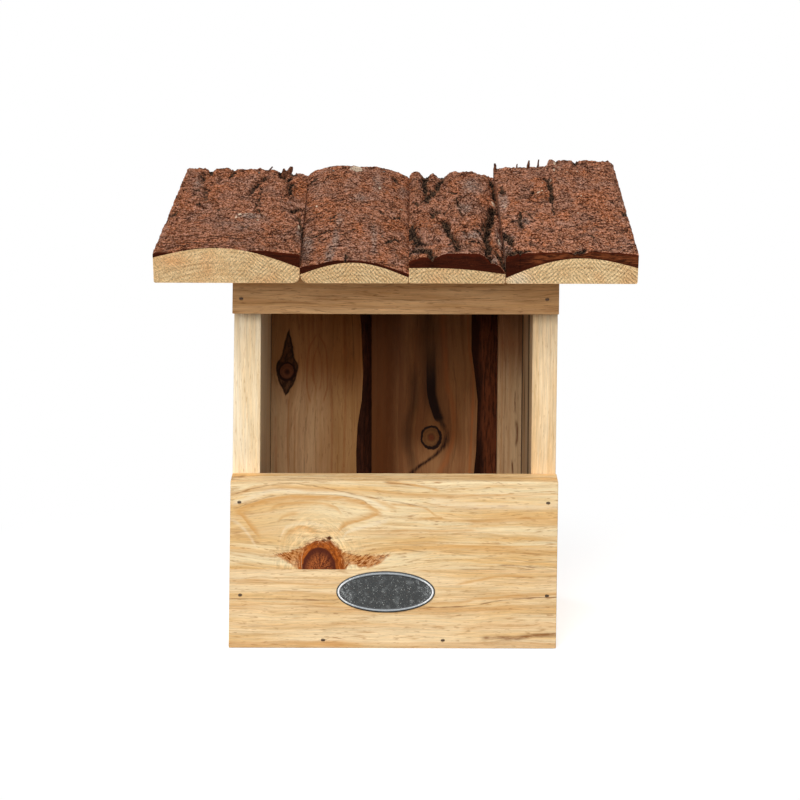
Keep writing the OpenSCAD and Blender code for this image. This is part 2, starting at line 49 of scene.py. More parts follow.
class Strand:
    # one value in a finish, so that sums on it read as plain maths
    def __init__(self, finish, socket):
        self.finish = finish
        self.socket = socket

    def __add__(self, other):
        return self.finish.math("ADD", self, other)

    def __radd__(self, other):
        return self.finish.math("ADD", other, self)

    def __sub__(self, other):
        return self.finish.math("SUBTRACT", self, other)

    def __rsub__(self, other):
        return self.finish.math("SUBTRACT", other, self)

    def __mul__(self, other):
        return self.finish.math("MULTIPLY", self, other)

    def __rmul__(self, other):
        return self.finish.math("MULTIPLY", other, self)

    def __truediv__(self, other):
        return self.finish.math("DIVIDE", self, other)

    def __rtruediv__(self, other):
        return self.finish.math("DIVIDE", other, self)

    def __pow__(self, other):
        return self.finish.math("POWER", self, other)

    def __neg__(self):
        return self.finish.math("MULTIPLY", self, -1.0)

    def __abs__(self):
        return self.finish.math("ABSOLUTE", self)

    def root(self):
        return self.finish.math("SQRT", self)

    def bell(self):
        # 1 at nought, falling off to both sides
        return self.finish.math("EXPONENT", -(self * self))

    def ease(self, low, high):
        # goes smoothly from 0 to 1 while the value goes from low to high
        return self.finish.add("MapRange", {"interpolation_type": "SMOOTHSTEP"},
                               [self, low, high])

    def mixed(self, share, tone, how="MIX"):
        return self.finish.blend(share, self, tone, how)


def linear(red, green, blue):
    # a colour picked in 0 to 255 steps, as the shader wants it
    parts = [part / 255 for part in (red, green, blue)]
    return tuple(part / 12.92 if part <= 0.04045 else ((part + 0.055) / 1.055) ** 2.4
                 for part in parts) + (1.0,)


class Finish:
    def __init__(self, name, world=None):
        # the world's nodes are made in the same way as a material's
        self.material = world or bpy.data.materials.new(name)
        self.material.use_nodes = True
        self.tree = self.material.node_tree
        self.tree.nodes.clear()
        self.end = self.tree.nodes.new("ShaderNodeOutput" + ("World" if world else "Material"))
        if not world:
            self.shader = self.tree.nodes.new("ShaderNodeBsdfPrincipled")
            self.tree.links.new(self.shader.outputs[0], self.end.inputs[0])

    def add(self, kind, settings=None, values=None, output=0):
        made = self.tree.nodes.new("ShaderNode" + kind)
        for name, value in (settings or {}).items():
            if name == "bends":
                line = made.mapping.curves[0]
                line.points[0].location = value[0]
                line.points[1].location = value[-1]
                for spot in value[1:-1]:
                    line.points.new(*spot)
                for spot in line.points:
                    spot.handle_type = "AUTO_CLAMPED"
                made.mapping.update()
            else:
                setattr(made, name, value)
        pairs = values.items() if isinstance(values, dict) else enumerate(values or [])
        for key, value in pairs:
            self.give(made.inputs[key], value)
        return Strand(self, made.outputs[output])

    def give(self, socket, value):
        if isinstance(value, Strand):
            self.tree.links.new(value.socket, socket)
        elif socket.type == "RGBA" and len(value) == 3:
            socket.default_value = linear(*value)
        else:
            socket.default_value = value

    def drive(self, sockets):
        for name, value in sockets.items():
            self.give(self.shader.inputs[name], value)
        return self.material

    def math(self, operation, *values):
        return self.add("Math", {"operation": operation}, values)

    def more(self, first, second):
        return self.math("MAXIMUM", first, second)

    def less(self, first, second):
        return self.math("MINIMUM", first, second)

    def spot(self):
        # the point being shaded, in millimetres
        place = self.add("TexCoord", output=3)
        return self.add("VectorMath", {"operation": "SCALE"}, {0: place, "Scale": 1000.0})

    def outputs(self, strand, keys=(0, 1, 2)):
        # several outputs of one node, such as the x, y and z of a vector taken apart
        return [Strand(self, strand.socket.node.outputs[key]) for key in keys]

    def joined(self, *values):
        return self.add("CombineXYZ", values=values)

    def parts(self, vector):
        return self.outputs(self.add("SeparateXYZ", values=[vector]))

    def cloud(self, vector, factors=None, shift=(0, 0, 0), detail=2.0, roughness=0.5, scale=1.0):
        # soft noise; the factors stretch it along the axes and the shift moves it
        if factors:
            vector = self.add("VectorMath", {"operation": "MULTIPLY"}, [vector, factors])
            vector = self.add("VectorMath", {"operation": "ADD"}, [vector, shift])
        return self.add("TexNoise", values={
            "Vector": vector, "Scale": scale, "Detail": detail, "Roughness": roughness})

    def layer(self, name):
        # a value that the mesh carries at its points
        return self.add("Attribute", {"attribute_name": name}, output=2)

    def blend(self, share, first, second, how="MIX"):
        return self.add("Mix", {"data_type": "RGBA", "blend_type": how},
                        {0: share, 6: first, 7: second}, output=2)

    def tinted(self, colour, value, saturation=1.0):
        return self.add("HueSaturation", values={
            "Saturation": saturation, "Value": value, "Color": colour})

    def relief(self, height, depth):
        return self.add("Bump", values={"Distance": depth * mm, "Height": height})

    def follow(self, along, points):
        # how far across a smooth line is at each place along it; points are (along, across)
        start, end = points[0][0], points[-1][0]
        low = min(point[1] for point in points) - 0.5
        high = max(point[1] for point in points) + 0.5
        bends = [((a - start) / (end - start), (c - low) / (high - low)) for a, c in points]
        middle = self.add("FloatCurve", {"bends": bends},
                          {"Value": (along - start) / (end - start)})
        return middle * (high - low) + low

    def band(self, along, across, lower, upper, soft):
        # 1 between two lines, fading out towards both
        return self.less((across - self.follow(along, lower)).ease(0.0, soft),
                         (self.follow(along, upper) - across).ease(0.0, soft))

    def stroke(self, along, across, points, width, fade=5.0):
        # a soft line; a pair of widths is for its two sides
        start, end = points[0][0], points[-1][0]
        off = across - self.follow(along, points)
        upper, lower = width if isinstance(width, tuple) else (width, width)
        line = self.less(off.ease(upper, 0.0), off.ease(-lower, 0.0))
        return line * along.ease(start - fade * 0.3, start + fade * 0.7) \
            * along.ease(end + fade * 0.3, end - fade * 0.7)

    def strokes(self, along, across, rows):
        # the strongest of several strokes: rows of (strength, width, points)
        found = None
        for strength, width, points in rows:
            line = self.stroke(along, across, points, width) * strength
            found = self.more(found, line) if found else line
        return found


def facing(finish, axis):
    # 1 where the surface looks along the axis, as the sawn end of a board does
    turned = finish.parts(finish.add("NewGeometry", output=1))[axis]
    return abs(turned).ease(0.75, 0.95)


def oval(x, z, middle, radii):
    # offsets in shares of the radii, and the square of the distance, which is 1 on the oval
    dx, dz = (x - middle[0]) / radii[0], (z - middle[1]) / radii[1]
    return dx, dz, dx * dx + dz * dz


def softOval(x, z, middle, radii):
    # 1 in the middle, fading out on all sides
    dx, dz = (x - middle[0]) / radii[0], (z - middle[1]) / radii[1]
    return dx.bell() * dz.bell()


def pineGrain(finish, look):
    # grain that all the boards share: tonal bands, growth rings, fibres and resin flecks.
    # Returns the colour, the pattern's own coordinates and the height of its relief.
    spot = finish.spot()
    grain = look["grain"]
    across = 2 if grain == 0 else 0
    depth = 3 - grain - across

    def along(small, large):
        return tuple(small if k == grain else large for k in range(3))
    seed = (look["seed"] * 37.1, look["seed"] * 11.7, look["seed"] * 23.3)
    wander = finish.cloud(spot, along(0.009, 0.035), seed) - 0.5
    ripple = finish.cloud(spot, along(0.035, 0.16), seed) - 0.5
    place = finish.parts(spot)
    bent = place[across] + wander * look["wander"] + ripple * look["ripple"]
    if "knots" in look:
        for middle, reach, push in look["knots"]:
            off = oval(place[grain], place[across], middle, reach)[2]
            near = finish.math("EXPONENT", -off)
            bent = (bent - middle[1]) * (1 - near * push) + middle[1]
    flow = list(place)
    flow[across] = bent
    flow = finish.joined(*flow)
    fromPith = bent - look["pith"][0]
    deep = place[depth] - look["pith"][1]
    rings = (fromPith * fromPith + deep * deep).root() / look["ringGap"]
    part = finish.math("FRACT", rings)
    which = finish.math("FLOOR", rings)
    late = part.ease(0.35, 0.93) * part.ease(1.0, 0.95)
    vary = finish.add("TexWhiteNoise", {"noise_dimensions": "1D"}, {"W": which + look["seed"]})
    patchy = finish.cloud(flow, along(0.012, 0.05), seed, detail=1).ease(0.32, 0.62)
    bands = finish.cloud(flow, along(0.010, 0.17), seed, detail=4, roughness=0.6)
    streaks = finish.cloud(flow, along(0.022, 0.62), seed)
    fibres = finish.cloud(flow, along(0.08, 1.15), seed, detail=3, roughness=0.75)
    flecks = finish.cloud(flow, along(0.16, 1.3), seed)
    hairs = finish.cloud(flow, along(0.011, 0.3), seed)
    hairs = ((hairs - 0.5) / 0.016).bell() * fibres.ease(0.38, 0.55)
    colour = finish.blend(bands.ease(0.34, 0.66), look["pale"], look["tan"])
    ringShare = late * (0.35 + vary * 0.65) * (0.25 + patchy * 0.75) * look["ringShare"]
    colour = colour.mixed(ringShare, look["line"])
    colour = colour.mixed(hairs * look["hairShare"], finish.tinted(look["line"], 0.72))
    colour = colour.mixed(flecks.ease(0.6, 0.7) * look["fleckShare"], look["fleck"])
    tone = 1 + (fibres - 0.5) * look["fibreShare"] + (streaks - 0.5) * look["streakShare"]
    colour = finish.tinted(colour, tone)
    # the sawn ends show the rings alone
    ringTone = finish.blend(late * (0.4 + vary * 0.6), finish.tinted(look["tan"], 1.12),
                            look["line"])
    colour = colour.mixed(facing(finish, grain) * look["endShare"], ringTone)
    height = fibres * 0.6 + late * 0.4
    return colour, spot, place, height


def closePine(finish, look, colour, height):
    # the sawn ends, the roughness and the relief
    ends = facing(finish, look["grain"])
    spot = finish.spot()
    pores = finish.cloud(spot, scale=1.7, detail=2, roughness=0.7)
    endColour = finish.blend(pores.ease(0.35, 0.68), finish.tinted(colour, 0.72), colour)
    colour = colour.mixed(ends, endColour)
    wear = finish.cloud(spot, scale=0.12, detail=3)
    relief = finish.relief(height * (1 - ends) + pores * ends, look["relief"])
    return finish.drive({"Base Color": colour, "Roughness": 0.5 + wear * 0.25, "Normal": relief,
                         "Specular IOR Level": 0.06})


def pineFinish(name, look, details=None):
    finish = Finish(name)
    colour, spot, place, height = pineGrain(finish, look)
    if details:
        colour = details(finish, colour, spot, place)
    return closePine(finish, look, colour, height)


# looks of the boards: the grain runs along axis 0, 1 or 2, the pith is the log's middle across
# and into the board, and each share says how strongly a mark shows
frontLook = {
    "grain": 0, "seed": 1, "pale": (246, 223, 178), "tan": (228, 185, 123), "line": (205, 146, 82),
    "fleck": (158, 98, 44), "wander": 10, "ripple": 2.2, "pith": (20, 20), "ringGap": 4.2,
    "ringShare": 0.5, "fleckShare": 0.5, "hairShare": 0.6, "fibreShare": 0.7, "streakShare": 0.35,
    "relief": 0.12, "endShare": 0.9,
}
upperLook = dict(frontLook, knots=[((-50, 73), (46, 23), 0.5)], pith=(30, 10))
lowerLook = dict(frontLook, seed=2, pith=(-30, 10), ringGap=5.5, pale=(246, 217, 171),
                 tan=(232, 191, 132))

# drawn lines on the boards: strength, half-width, points
upperLines = {
    "pale": [
        (0.6, 2.4, [(-98, 90.5), (-85, 95.2), (-68, 98.8), (-45, 98.6), (-25, 95.8), (-13, 91.4),
                    (-3, 86)]),
        (0.4, 2.6, [(-99, 81), (-93, 77), (-87, 69.5), (-83, 63)]),
        (0.5, 2.2, [(-32, 68), (-28, 73.6), (-18, 77), (-3, 81)]),
        (0.4, 2.2, [(-70, 64), (-67.8, 73), (-62, 78), (-52, 79), (-42, 76.6)]),
        (0.5, 3.4, [(20, 93), (50, 90), (75, 89), (100, 90)]),
    ],
    "tan": [
        (0.5, 2.2, [(-101, 95.5), (-94.9, 96.6), (-82.7, 101), (-69.7, 102.1), (-54, 100),
                    (-33.8, 99.1), (-18, 95.5), (-9.3, 92.2), (1, 88)]),
        (0.95, (1.4, 5.0), [(-96.5, 85.6), (-90, 88.9), (-82.8, 91.8), (-72, 94.3), (-61, 95.5),
                            (-39.5, 95.5), (-25.2, 93.6), (-12.2, 87.4), (-8, 84.6)]),
        (0.95, (6.0, 1.6), [(-97, 85.5), (-92.9, 83.7), (-87.2, 76.4), (-81, 69)]),
        (0.9, (5.0, 1.4), [(-34.8, 72.3), (-32.4, 75.6), (-28.8, 77.8), (-21.6, 80.1), (-8.2, 85)]),
        (0.7, (1.2, 3.0), [(-76, 87), (-67.8, 90.7), (-52.8, 91.7), (-37.8, 89.7), (-32, 85)]),
        (0.65, (3.0, 1.0), [(-71, 74), (-69.8, 79.8), (-65.8, 82.9), (-58, 84.6)]),
        (0.75, (1.4, 4.5), [(-67.5, 66.5), (-65.6, 72), (-61.3, 74.9), (-56.9, 76.4), (-46.9, 74)]),
        (0.85, 1.4, [(-6, 104.4), (5.3, 103.5), (12.5, 102.4), (26.9, 99.1)]),
        (0.7, 1.3, [(-4, 90.8), (5.3, 90.2), (18.3, 87.8), (24, 83.7), (29.5, 81.5)]),
        (0.55, 1.0, [(6, 80.2), (12.5, 80.8), (21.9, 81.5), (30, 81.6)]),
        (0.5, 5.5, [(44, 78.6), (59.3, 80.5), (70.1, 81.5), (84.6, 81), (101, 79.5)]),
        (0.5, 1.6, [(-4, 73.1), (12.5, 74.9), (26.9, 74.2), (48.6, 75)]),
        (0.5, 0.9, [(-4, 66.1), (12.5, 66.1), (41.4, 64.6), (63.1, 64.2), (99.2, 66.1)]),
        (0.5, 0.8, [(40, 97), (58.5, 96.4), (76, 97.5), (100, 97.2)]),
    ],
    "dark": [
        (0.45, 0.5, [(-96, 87.5), (-84, 92.6), (-66, 96.4), (-44, 96.9), (-26, 94.6), (-14, 89.6)]),
        (0.8, 0.7, [(-101, 105.1), (-95.6, 105.7), (-90, 106.1)]),
        (0.6, 0.5, [(-76, 78.4), (-67.7, 80.4), (-59, 80.8)]),
        (0.55, 0.6, [(-98, 96.4), (-83, 100.6), (-63, 103.1), (-42, 100.6), (-28, 97.5),
                     (-13, 94.3), (15, 89.7)]),
        (0.6, 0.6, [(-8, 104.4), (2, 103.6), (11, 102.4)]),
        (0.5, 0.6, [(2.4, 62.4), (12.5, 61.6), (19, 60.8)]),
        (0.6, 0.5, [(50, 95.6), (58.5, 95.1)]),
        (0.7, 0.55, [(62, 52.6), (77.6, 51.9), (84.9, 51.3), (100, 51.4)]),
        (0.4, 0.5, [(50, 57.3), (70.4, 56.1), (84.8, 55), (100, 55)]),
        (0.35, 0.45, [(60, 60.5), (78, 60), (100, 60.6)]),
        (0.7, 0.45, [(38, 50.1), (60, 49.9), (84, 49.9)]),
    ],
}
lowerLines = {
    "tan": [
        (0.5, 1.0, [(-92, 43.1), (-81.8, 43.1), (-70.2, 41.3), (-54.3, 40.5), (-34, 40.2)]),
        (0.5, 1.6, [(-101, 28), (-76, 28), (-36, 28.4)]),
        (0.75, 1.4, [(36, 40), (51.6, 43.5), (60.3, 45.4), (69, 46.1), (86, 45)]),
        (0.7, 1.7, [(20, 28.6), (34.3, 29), (43, 29.8), (48.8, 31.3), (59.7, 32), (70.5, 33.1),
                    (101, 35)]),
        (0.4, 3.0, [(-60, 1), (-40, 2.6), (-20, 1.2)]),
        (0.35, 4.0, [(40, 12), (70, 15), (101, 14)]),
    ],
    "dark": [
        (0.6, 0.7, [(-101, 31.4), (-83.4, 30.9), (-61.6, 30.5), (-35, 30.1)]),
        (0.3, 0.9, [(-90, 13.7), (-74.8, 13.9), (-63, 15.2)]),
        (0.8, 0.65, [(16, 26), (30.7, 26.4), (41.6, 26.8), (53.9, 28.3), (63.3, 30.5), (85, 32.1),
                     (101, 32.7)]),
        (0.5, 0.5, [(72, 22.5), (85.1, 22.2), (101, 22.3)]),
        (0.8, 2.2, [(52, 6.6), (63.5, 7), (70.7, 6.8), (78, 7.6), (85.3, 8.5), (101, 9.3)]),
        (0.6, 0.5, [(68, 45.2), (76, 45.3), (84, 44.8)]),
        (0.9, 0.6, [(-46.5, 5), (-43, 5.2), (-40, 6.3)]),
        (0.8, 0.5, [(-37.5, 7.2), (-35.6, 6.6), (-31, 5.7)]),
    ],
}
frontTones = {"pale": (252, 236, 204), "tan": (216, 162, 96), "dark": (128, 74, 30)}


def bradMarks(finish, colour, spot, x, z, places):
    # the dent and the stain that a driven brad leaves round its head
    uneven = (finish.cloud(spot, scale=0.9) - 0.5) * 1.6
    found = None
    for middle in places:
        mark = (oval(x, z, middle, (1.3, 1.25))[2] + uneven).ease(1.2, 0.4)
        found = finish.more(found, mark) if found else mark
    return colour.mixed(found * 0.6, (92, 62, 36))


def drawnLines(finish, colour, place, spot, lines, tones, grain=0):
    # drawn grain, made uneven by noise so that it never looks ruled
    across = 2 - grain
    fine, coarse = [(long, short, cross) if grain == 0 else (cross, short, long)
                    for long, short, cross in ((0.05, 0.3, 0.6), (0.12, 0.5, 0.8))]
    shaky = place[across] + (finish.cloud(spot, fine) - 0.5) * 2.2
    broken = finish.cloud(spot, coarse, detail=3, roughness=0.7).ease(0.25, 0.6)
    # the front's lines were drawn a little narrower than the board and to its left
    along = (place[0] - 0.9) / 1.019 if grain == 0 else place[2]
    for key, least, rest in (("pale", 0.3, 0.6), ("tan", 0.45, 0.55), ("dark", 0.2, 0.8)):
        if key in lines:
            share = finish.strokes(along, shaky, lines[key]) * (least + broken * rest)
            colour = colour.mixed(share, tones[key])
    return colour


halfKnot = {
    "middle": (-45.8, 49.4), "radii": (10.3, 14.2), "rim": (84, 38, 24), "heart": (184, 102, 52),
    "glow": (186, 98, 34), "flame": (200, 120, 46), "deepFlame": (112, 47, 11),
}
# torn grain to the left and to the right of the knot: its lower and upper line, how soft these
# are, and where it starts and ends
tornGrain = [
    {"lower": [(-81, 57.5), (-72.1, 57), (-66.6, 54.6), (-61.6, 51.2), (-57.3, 49), (-52, 47)],
     "upper": [(-81, 59.2), (-72.1, 60), (-66.6, 61), (-58.5, 63.5), (-52, 66)],
     "soft": 1.5, "start": (-81, -70), "end": (-46, -50)},
    {"lower": [(-37, 47), (-29.6, 48.6), (-26.5, 52.2), (-22.9, 51.6), (-20.4, 50),
               (-14.2, 50.2), (-9.3, 52.2), (-5.6, 55.4), (-2, 58.4)],
     "upper": [(-37, 65), (-35.8, 64.3), (-29.6, 61.4), (-26.5, 60.2), (-20.4, 59.4),
               (-11.2, 59.8), (-2, 60.4)],
     "soft": 1.8, "start": (-38, -36), "end": (0.5, -4)},
]


def upperDetails(finish, colour, spot, place):
    x, _, z = place
    eye = softOval(x, z, (-50, 80), (40, 12))
    colour = colour.mixed(eye * 0.45, (246, 224, 178))
    # painted light: the board's top edge a little lighter
    colour = finish.tinted(colour, 1 + facing(finish, 2) * 0.14)
    colour = drawnLines(finish, colour, place, spot, upperLines, frontTones)
    k = halfKnot
    uneven = (finish.cloud(spot, scale=0.3, detail=3) - 0.5) * 0.22
    dx, dz, squared = oval(x, z, k["middle"], k["radii"])
    out = squared.root()
    reach = out + uneven
    grainy = finish.cloud(spot, scale=1.1, detail=3, roughness=0.7)
    # short dashes of grain that bend round the knot
    dashes = finish.cloud(finish.joined(dx / out * 4, dz / out * 4, reach * 11),
                          detail=3, roughness=0.7)
    colour = finish.tinted(colour, 1 + (dashes - 0.5) * out.ease(3.3, 1.4) * 1.5)
    # torn grain on both sides, which rises away from the knot
    away = abs(x - k["middle"][0])
    torn = finish.cloud(finish.joined(x * 0.3, 0.0, (z - away * 0.5) * 0.62),
                        detail=4, roughness=0.75)
    ragged = z + uneven * 8 + (torn - 0.5) * 7
    share = None
    for side in tornGrain:
        band = finish.band(x, ragged, side["lower"], side["upper"], side["soft"])
        band = band * x.ease(*side["start"]) * x.ease(*side["end"])
        share = finish.more(band, share) if share else band
    flame = finish.blend(torn.ease(0.38, 0.56), k["deepFlame"], k["flame"])
    thin = finish.cloud(spot, (0.12, 0.12, 0.2)).ease(0.36, 0.56)
    share = share * (0.66 + torn.ease(0.58, 0.44) * 0.34)
    colour = colour.mixed(share * (0.8 + thin * 0.2), flame)
    # the orange glow round the knot
    wider = x.ease(-47, -37) * 0.2
    glow = (reach - wider + (dashes - 0.5) * 0.7).ease(1.48, 1.14) * (0.65 + grainy * 0.7)
    glowTone = finish.blend(dashes.ease(0.6, 0.42) * 0.75, k["glow"], k["deepFlame"])
    colour = colour.mixed(finish.less(glow, 1.0), glowTone)
    # the knot itself: a dark rim and a lighter heart with rays
    rays = finish.cloud(finish.joined(dx / out, dz / out, out * 0.25),
                        scale=4.0, detail=3, roughness=0.7)
    outline = out + uneven * 0.35
    heartShare = reach.ease(0.92, 0.45)
    crossed = rays * 0.5 + grainy * 0.5
    heart = finish.blend(crossed.ease(0.42, 0.57), k["rim"], k["heart"])
    rim = finish.tinted(k["rim"], 0.6 + grainy * 0.5 + rays * 0.5)
    knot = finish.blend(heartShare * 0.9, rim, heart)
    colour = colour.mixed(outline.ease(1.04, 0.96), knot)
    line = finish.stroke(z, x, [(50, -56.4), (55, -56.7), (60.5, -55.8)], 0.45, 2)
    colour = colour.mixed(line * 0.5, (226, 180, 132))
    dot = abs(x + 39.5) / 2.3 + abs(z - 69.4) / 1.7
    smear = abs(x + 42.6) / 2.6 + abs(z - 68) / 1.0
    spots = finish.more(dot.ease(1.1, 0.5), smear.ease(1.1, 0.5) * 0.8)
    colour = colour.mixed(spots, (86, 48, 26))
    return bradMarks(finish, colour, spot, x, z, [(-94.5, 91.6), (94.5, 91.6)])


def lowerDetails(finish, colour, spot, place):
    x, _, z = place
    torn = softOval(x, z, (-37, 2), (7, 3))
    colour = colour.mixed(torn * 0.4, (206, 142, 84))
    colour = drawnLines(finish, colour, place, spot, lowerLines, frontTones)
    places = [(-94.5, 33.4), (94.5, 33.4), (-43.5, 5), (30.5, 5)]
    return bradMarks(finish, colour, spot, x, z, places)


railLook = dict(frontLook, seed=3, pale=(214, 172, 124), tan=(188, 142, 94), line=(144, 98, 58),
                ringGap=5.0, ringShare=0.5, pith=(236, 20), fleckShare=0.5, fleck=(104, 66, 38))
railLines = {
    "tan": [
        (0.6, 0.9, [(-101, 213.4), (-60, 213), (0, 213.6), (50, 213), (101, 213.6)]),
    ],
    "dark": [
        (0.5, 0.5, [(-60, 219), (-45, 218.4), (-20, 218.6)]),
        (0.5, 0.5, [(-10, 217), (20, 216.4), (55, 217)]),
        (0.4, 0.6, [(-101, 222), (-70, 221.5), (-52, 222)]),
        (0.4, 0.5, [(30, 222.5), (60, 222), (101, 222.4)]),
    ],
}


def railDetails(finish, colour, spot, place):
    x, _, z = place
    colour = drawnLines(finish, colour, place, spot, railLines,
                        {"tan": (214, 168, 112), "dark": (104, 66, 38)})
    return bradMarks(finish, colour, spot, x, z, [(-92.3, 216.7), (92.3, 216.7)])


sideLook = dict(frontLook, grain=2, seed=4, hairShare=0.3, pale=(252, 234, 202),
                tan=(240, 214, 172), line=(222, 186, 134), ringGap=2.4, ringShare=0.45, wander=5,
                ripple=1.0, pith=(-130, -40), fleck=(200, 160, 110))
rightSideLook = dict(sideLook, seed=5, pale=(246, 220, 180), tan=(232, 196, 146),
                     line=(206, 160, 104), pith=(130, -60))

# the back boards' colours are darker than the front's: painted shade for the inside of the box,
# which outerTone takes partly off their outer faces
backLook = dict(frontLook, grain=2, seed=6, hairShare=0.3, fibreShare=0.4, streakShare=0.2,
                pale=(214, 173, 128), tan=(189, 144, 98), line=(152, 98, 58), ringGap=4.6,
                ringShare=0.36, wander=9, ripple=2.0, fleck=(110, 64, 38), fleckShare=0.3)
leftBackLook = dict(backLook, pith=(-53, 84), ringGap=5.2, knots=[((157, -73), (26, 12), 0.6)])
middleBackLook = dict(backLook, seed=7, pale=(163, 116, 74), tan=(142, 94, 58), line=(108, 62, 36),
                      pith=(24, 90), knots=[((111, 24.7), (24, 13), 0.7)])
rightBackLook = dict(backLook, seed=8, pale=(204, 168, 126), tan=(184, 144, 102),
                     line=(144, 98, 60), pith=(120, 40), ringGap=3.4)


def deepShade(finish, colour, share, tint):
    # what little light reaches the back of the box is warm and falls off upwards
    return colour.mixed(share * indoors(finish), tint + (1.0,), "MULTIPLY")


def indoors(finish):
    # 1 on the back boards' inner faces
    return finish.parts(finish.spot())[1].ease(68, 62)


def outerTone(finish, colour):
    # the back boards' colours carry painted shade, so their outer faces are made paler than the
    # inner ones
    return colour.mixed((1 - indoors(finish)) * 0.7, finish.tinted(colour, 1.5, 0.85))


def innerLines(finish, colour, spot, place):
    # the dark seam inside the box, where a side board meets the back boards, widened into painted
    # shade in that corner
    x, y, _ = place
    inner = abs(x).ease(86, 84.5)
    seam = abs(y - 54.4).ease(10, 4)
    return colour.mixed(inner * seam * 0.9, (50, 20, 12))


def innerShade(finish, colour, spot, place):
    # painted shade on the inner face of the right side board: a little darker all over and dark
    # towards the back corner, where the seams are; also a dark line and a short dark mark
    x, y, z = place
    inner = x.ease(86, 84.5)
    seam = y.ease(38, 46)
    line = abs(y + 21 - (z - 150) * 0.05).ease(10, 4)
    short = abs(y - 22).ease(8, 3) * ((z - 140) / 16).bell()
    colour = colour.mixed(inner * 0.3, (150, 100, 62))
    return colour.mixed(inner * finish.more(finish.more(seam, line), short * 0.7) * 0.88,
                        (38, 15, 4))


leftBackLines = {
    "tan": [
        (0.45, 1.4, [(84, -79.6), (100, -79.4), (126, -79)]),
        (0.45, 1.3, [(84, -71.2), (110, -71.4), (138, -70.6)]),
        (0.35, 1.1, [(84, -66.8), (110, -67), (133, -66.4)]),
        (0.4, 1.5, [(84, -42), (110, -41.6), (134, -41.8), (150, -43)]),
        (0.4, 1.7, [(84, -34.5), (120, -33), (150, -32.6), (192, -33.4)]),
        (0.6, 1.0, [(134, -56), (150, -58.3), (166, -57.6), (181, -51.8)]),
        (0.6, 1.0, [(134, -47.8), (150, -44.6), (166, -45), (181, -50.8)]),
        (0.5, 0.8, [(142, -52.3), (157, -54.3), (172, -51.6)]),
        (0.5, 0.8, [(142, -50.2), (157, -48.2), (172, -50.8)]),
    ],
    "dark": [
        (0.95, 0.7, [(60, -83.9), (120, -83.8), (220, -83.9)]),
        (0.35, 0.6, [(84, -60.4), (110, -60), (128, -58.4)]),
        (0.35, 0.6, [(84, -52.4), (110, -53), (130, -52.4)]),
        (0.45, 0.7, [(140, -28.4), (165, -27.4), (195, -28.6)]),
    ],
}
middleBackLines = {
    "tan": [
        (0.6, 3.4, [(84, 28), (100, 36), (120, 40), (150, 35), (198, 32)]),
        (0.7, 1.3, [(84, 50), (124, 52.2), (146, 52.6), (166, 50.2), (198, 48.4)]),
        (0.4, 1.2, [(84, -8), (120, -8.6), (160, -7), (198, -7.6)]),
    ],
    "dark": [
        (1.0, 3.4, [(84, 9.6), (88, 12.6), (91, 16), (97, 24.6), (102.4, 30.8), (108, 34.2),
                    (113, 34.8), (118, 33.2), (124, 30)]),
        (0.45, 7.0, [(84, -2), (120, -3), (160, -2), (198, -1)]),
        (0.35, 1.0, [(92, 38.6), (110, 41.4), (130, 41.6), (160, 39)]),
    ],
}
darkWedge = [(121, 29.1), (126, 27), (130, 25.6), (137, 23.8), (143, 22.8), (152, 22.6),
             (164, 22.6), (180, 21.6), (205, 20.6)]
rightBackLines = {
    "tan": [
        (0.5, 1.0, [(84, 71.2), (140, 71.6), (198, 71)]),
        (0.4, 1.6, [(84, 76), (140, 77), (198, 76)]),
    ],
    "dark": [
        (0.9, 0.5, [(127, 80.6), (135, 80.4), (143, 80.5)]),
        (0.8, 1.2, [(105, 81.3), (114, 81.9), (123, 81.4)]),
        (0.8, 1.4, [(84, 79.8), (90, 79.2), (96, 78.2)]),
        (0.4, 0.6, [(84, 73), (140, 73.6), (198, 72.4)]),
    ],
}
backTones = {"tan": (168, 98, 52), "dark": (58, 30, 22)}


def roundKnot(finish, colour, spot, x, z, knot):
    # a whole knot with rings and a dark rim
    uneven = (finish.cloud(spot, scale=0.35, detail=4, roughness=0.7) - 0.5) * 0.36
    dx, dz, squared = oval(x, z, knot["middle"], knot["radii"])
    out = squared.root() + uneven
    thick = 0.84 - (dx - dz).ease(-0.6, 1.2) * 0.14  # the rim is thicker low down on the right
    rings = finish.math("SINE", out * 17) * 0.12 + 0.55
    rings = rings + finish.cloud(spot, scale=0.9, detail=3, roughness=0.7) * 0.7
    body = finish.blend(out.ease(0.42, 0.1), knot["heart"], knot["core"])
    body = finish.tinted(body, rings)
    body = finish.blend((out - thick).ease(-0.08, 0.06), body, knot["rim"])
    return colour.mixed(out.ease(1.08, 0.98), body)


leftKnot = {"middle": (-71.5, 155.2), "radii": (5.7, 6.4), "rim": (48, 24, 16),
            "heart": (128, 82, 58), "core": (70, 36, 26)}
middleKnot = {"middle": (24.7, 111), "radii": (7.1, 8.0), "rim": (40, 22, 16),
              "heart": (142, 98, 60), "core": (128, 68, 40)}
# the bark round the left knot: its foot, length and half-width, and how wide it is on the way up
diamond = {"middle": (-71.5, 157), "lean": 0.05, "foot": 139, "long": 45, "half": 7.5,
           "outline": [(0.0, 0.0), (0.07, 0.25), (0.3, 0.86), (0.42, 0.96), (0.58, 0.62),
                       (0.8, 0.34), (1.0, 0.0)]}


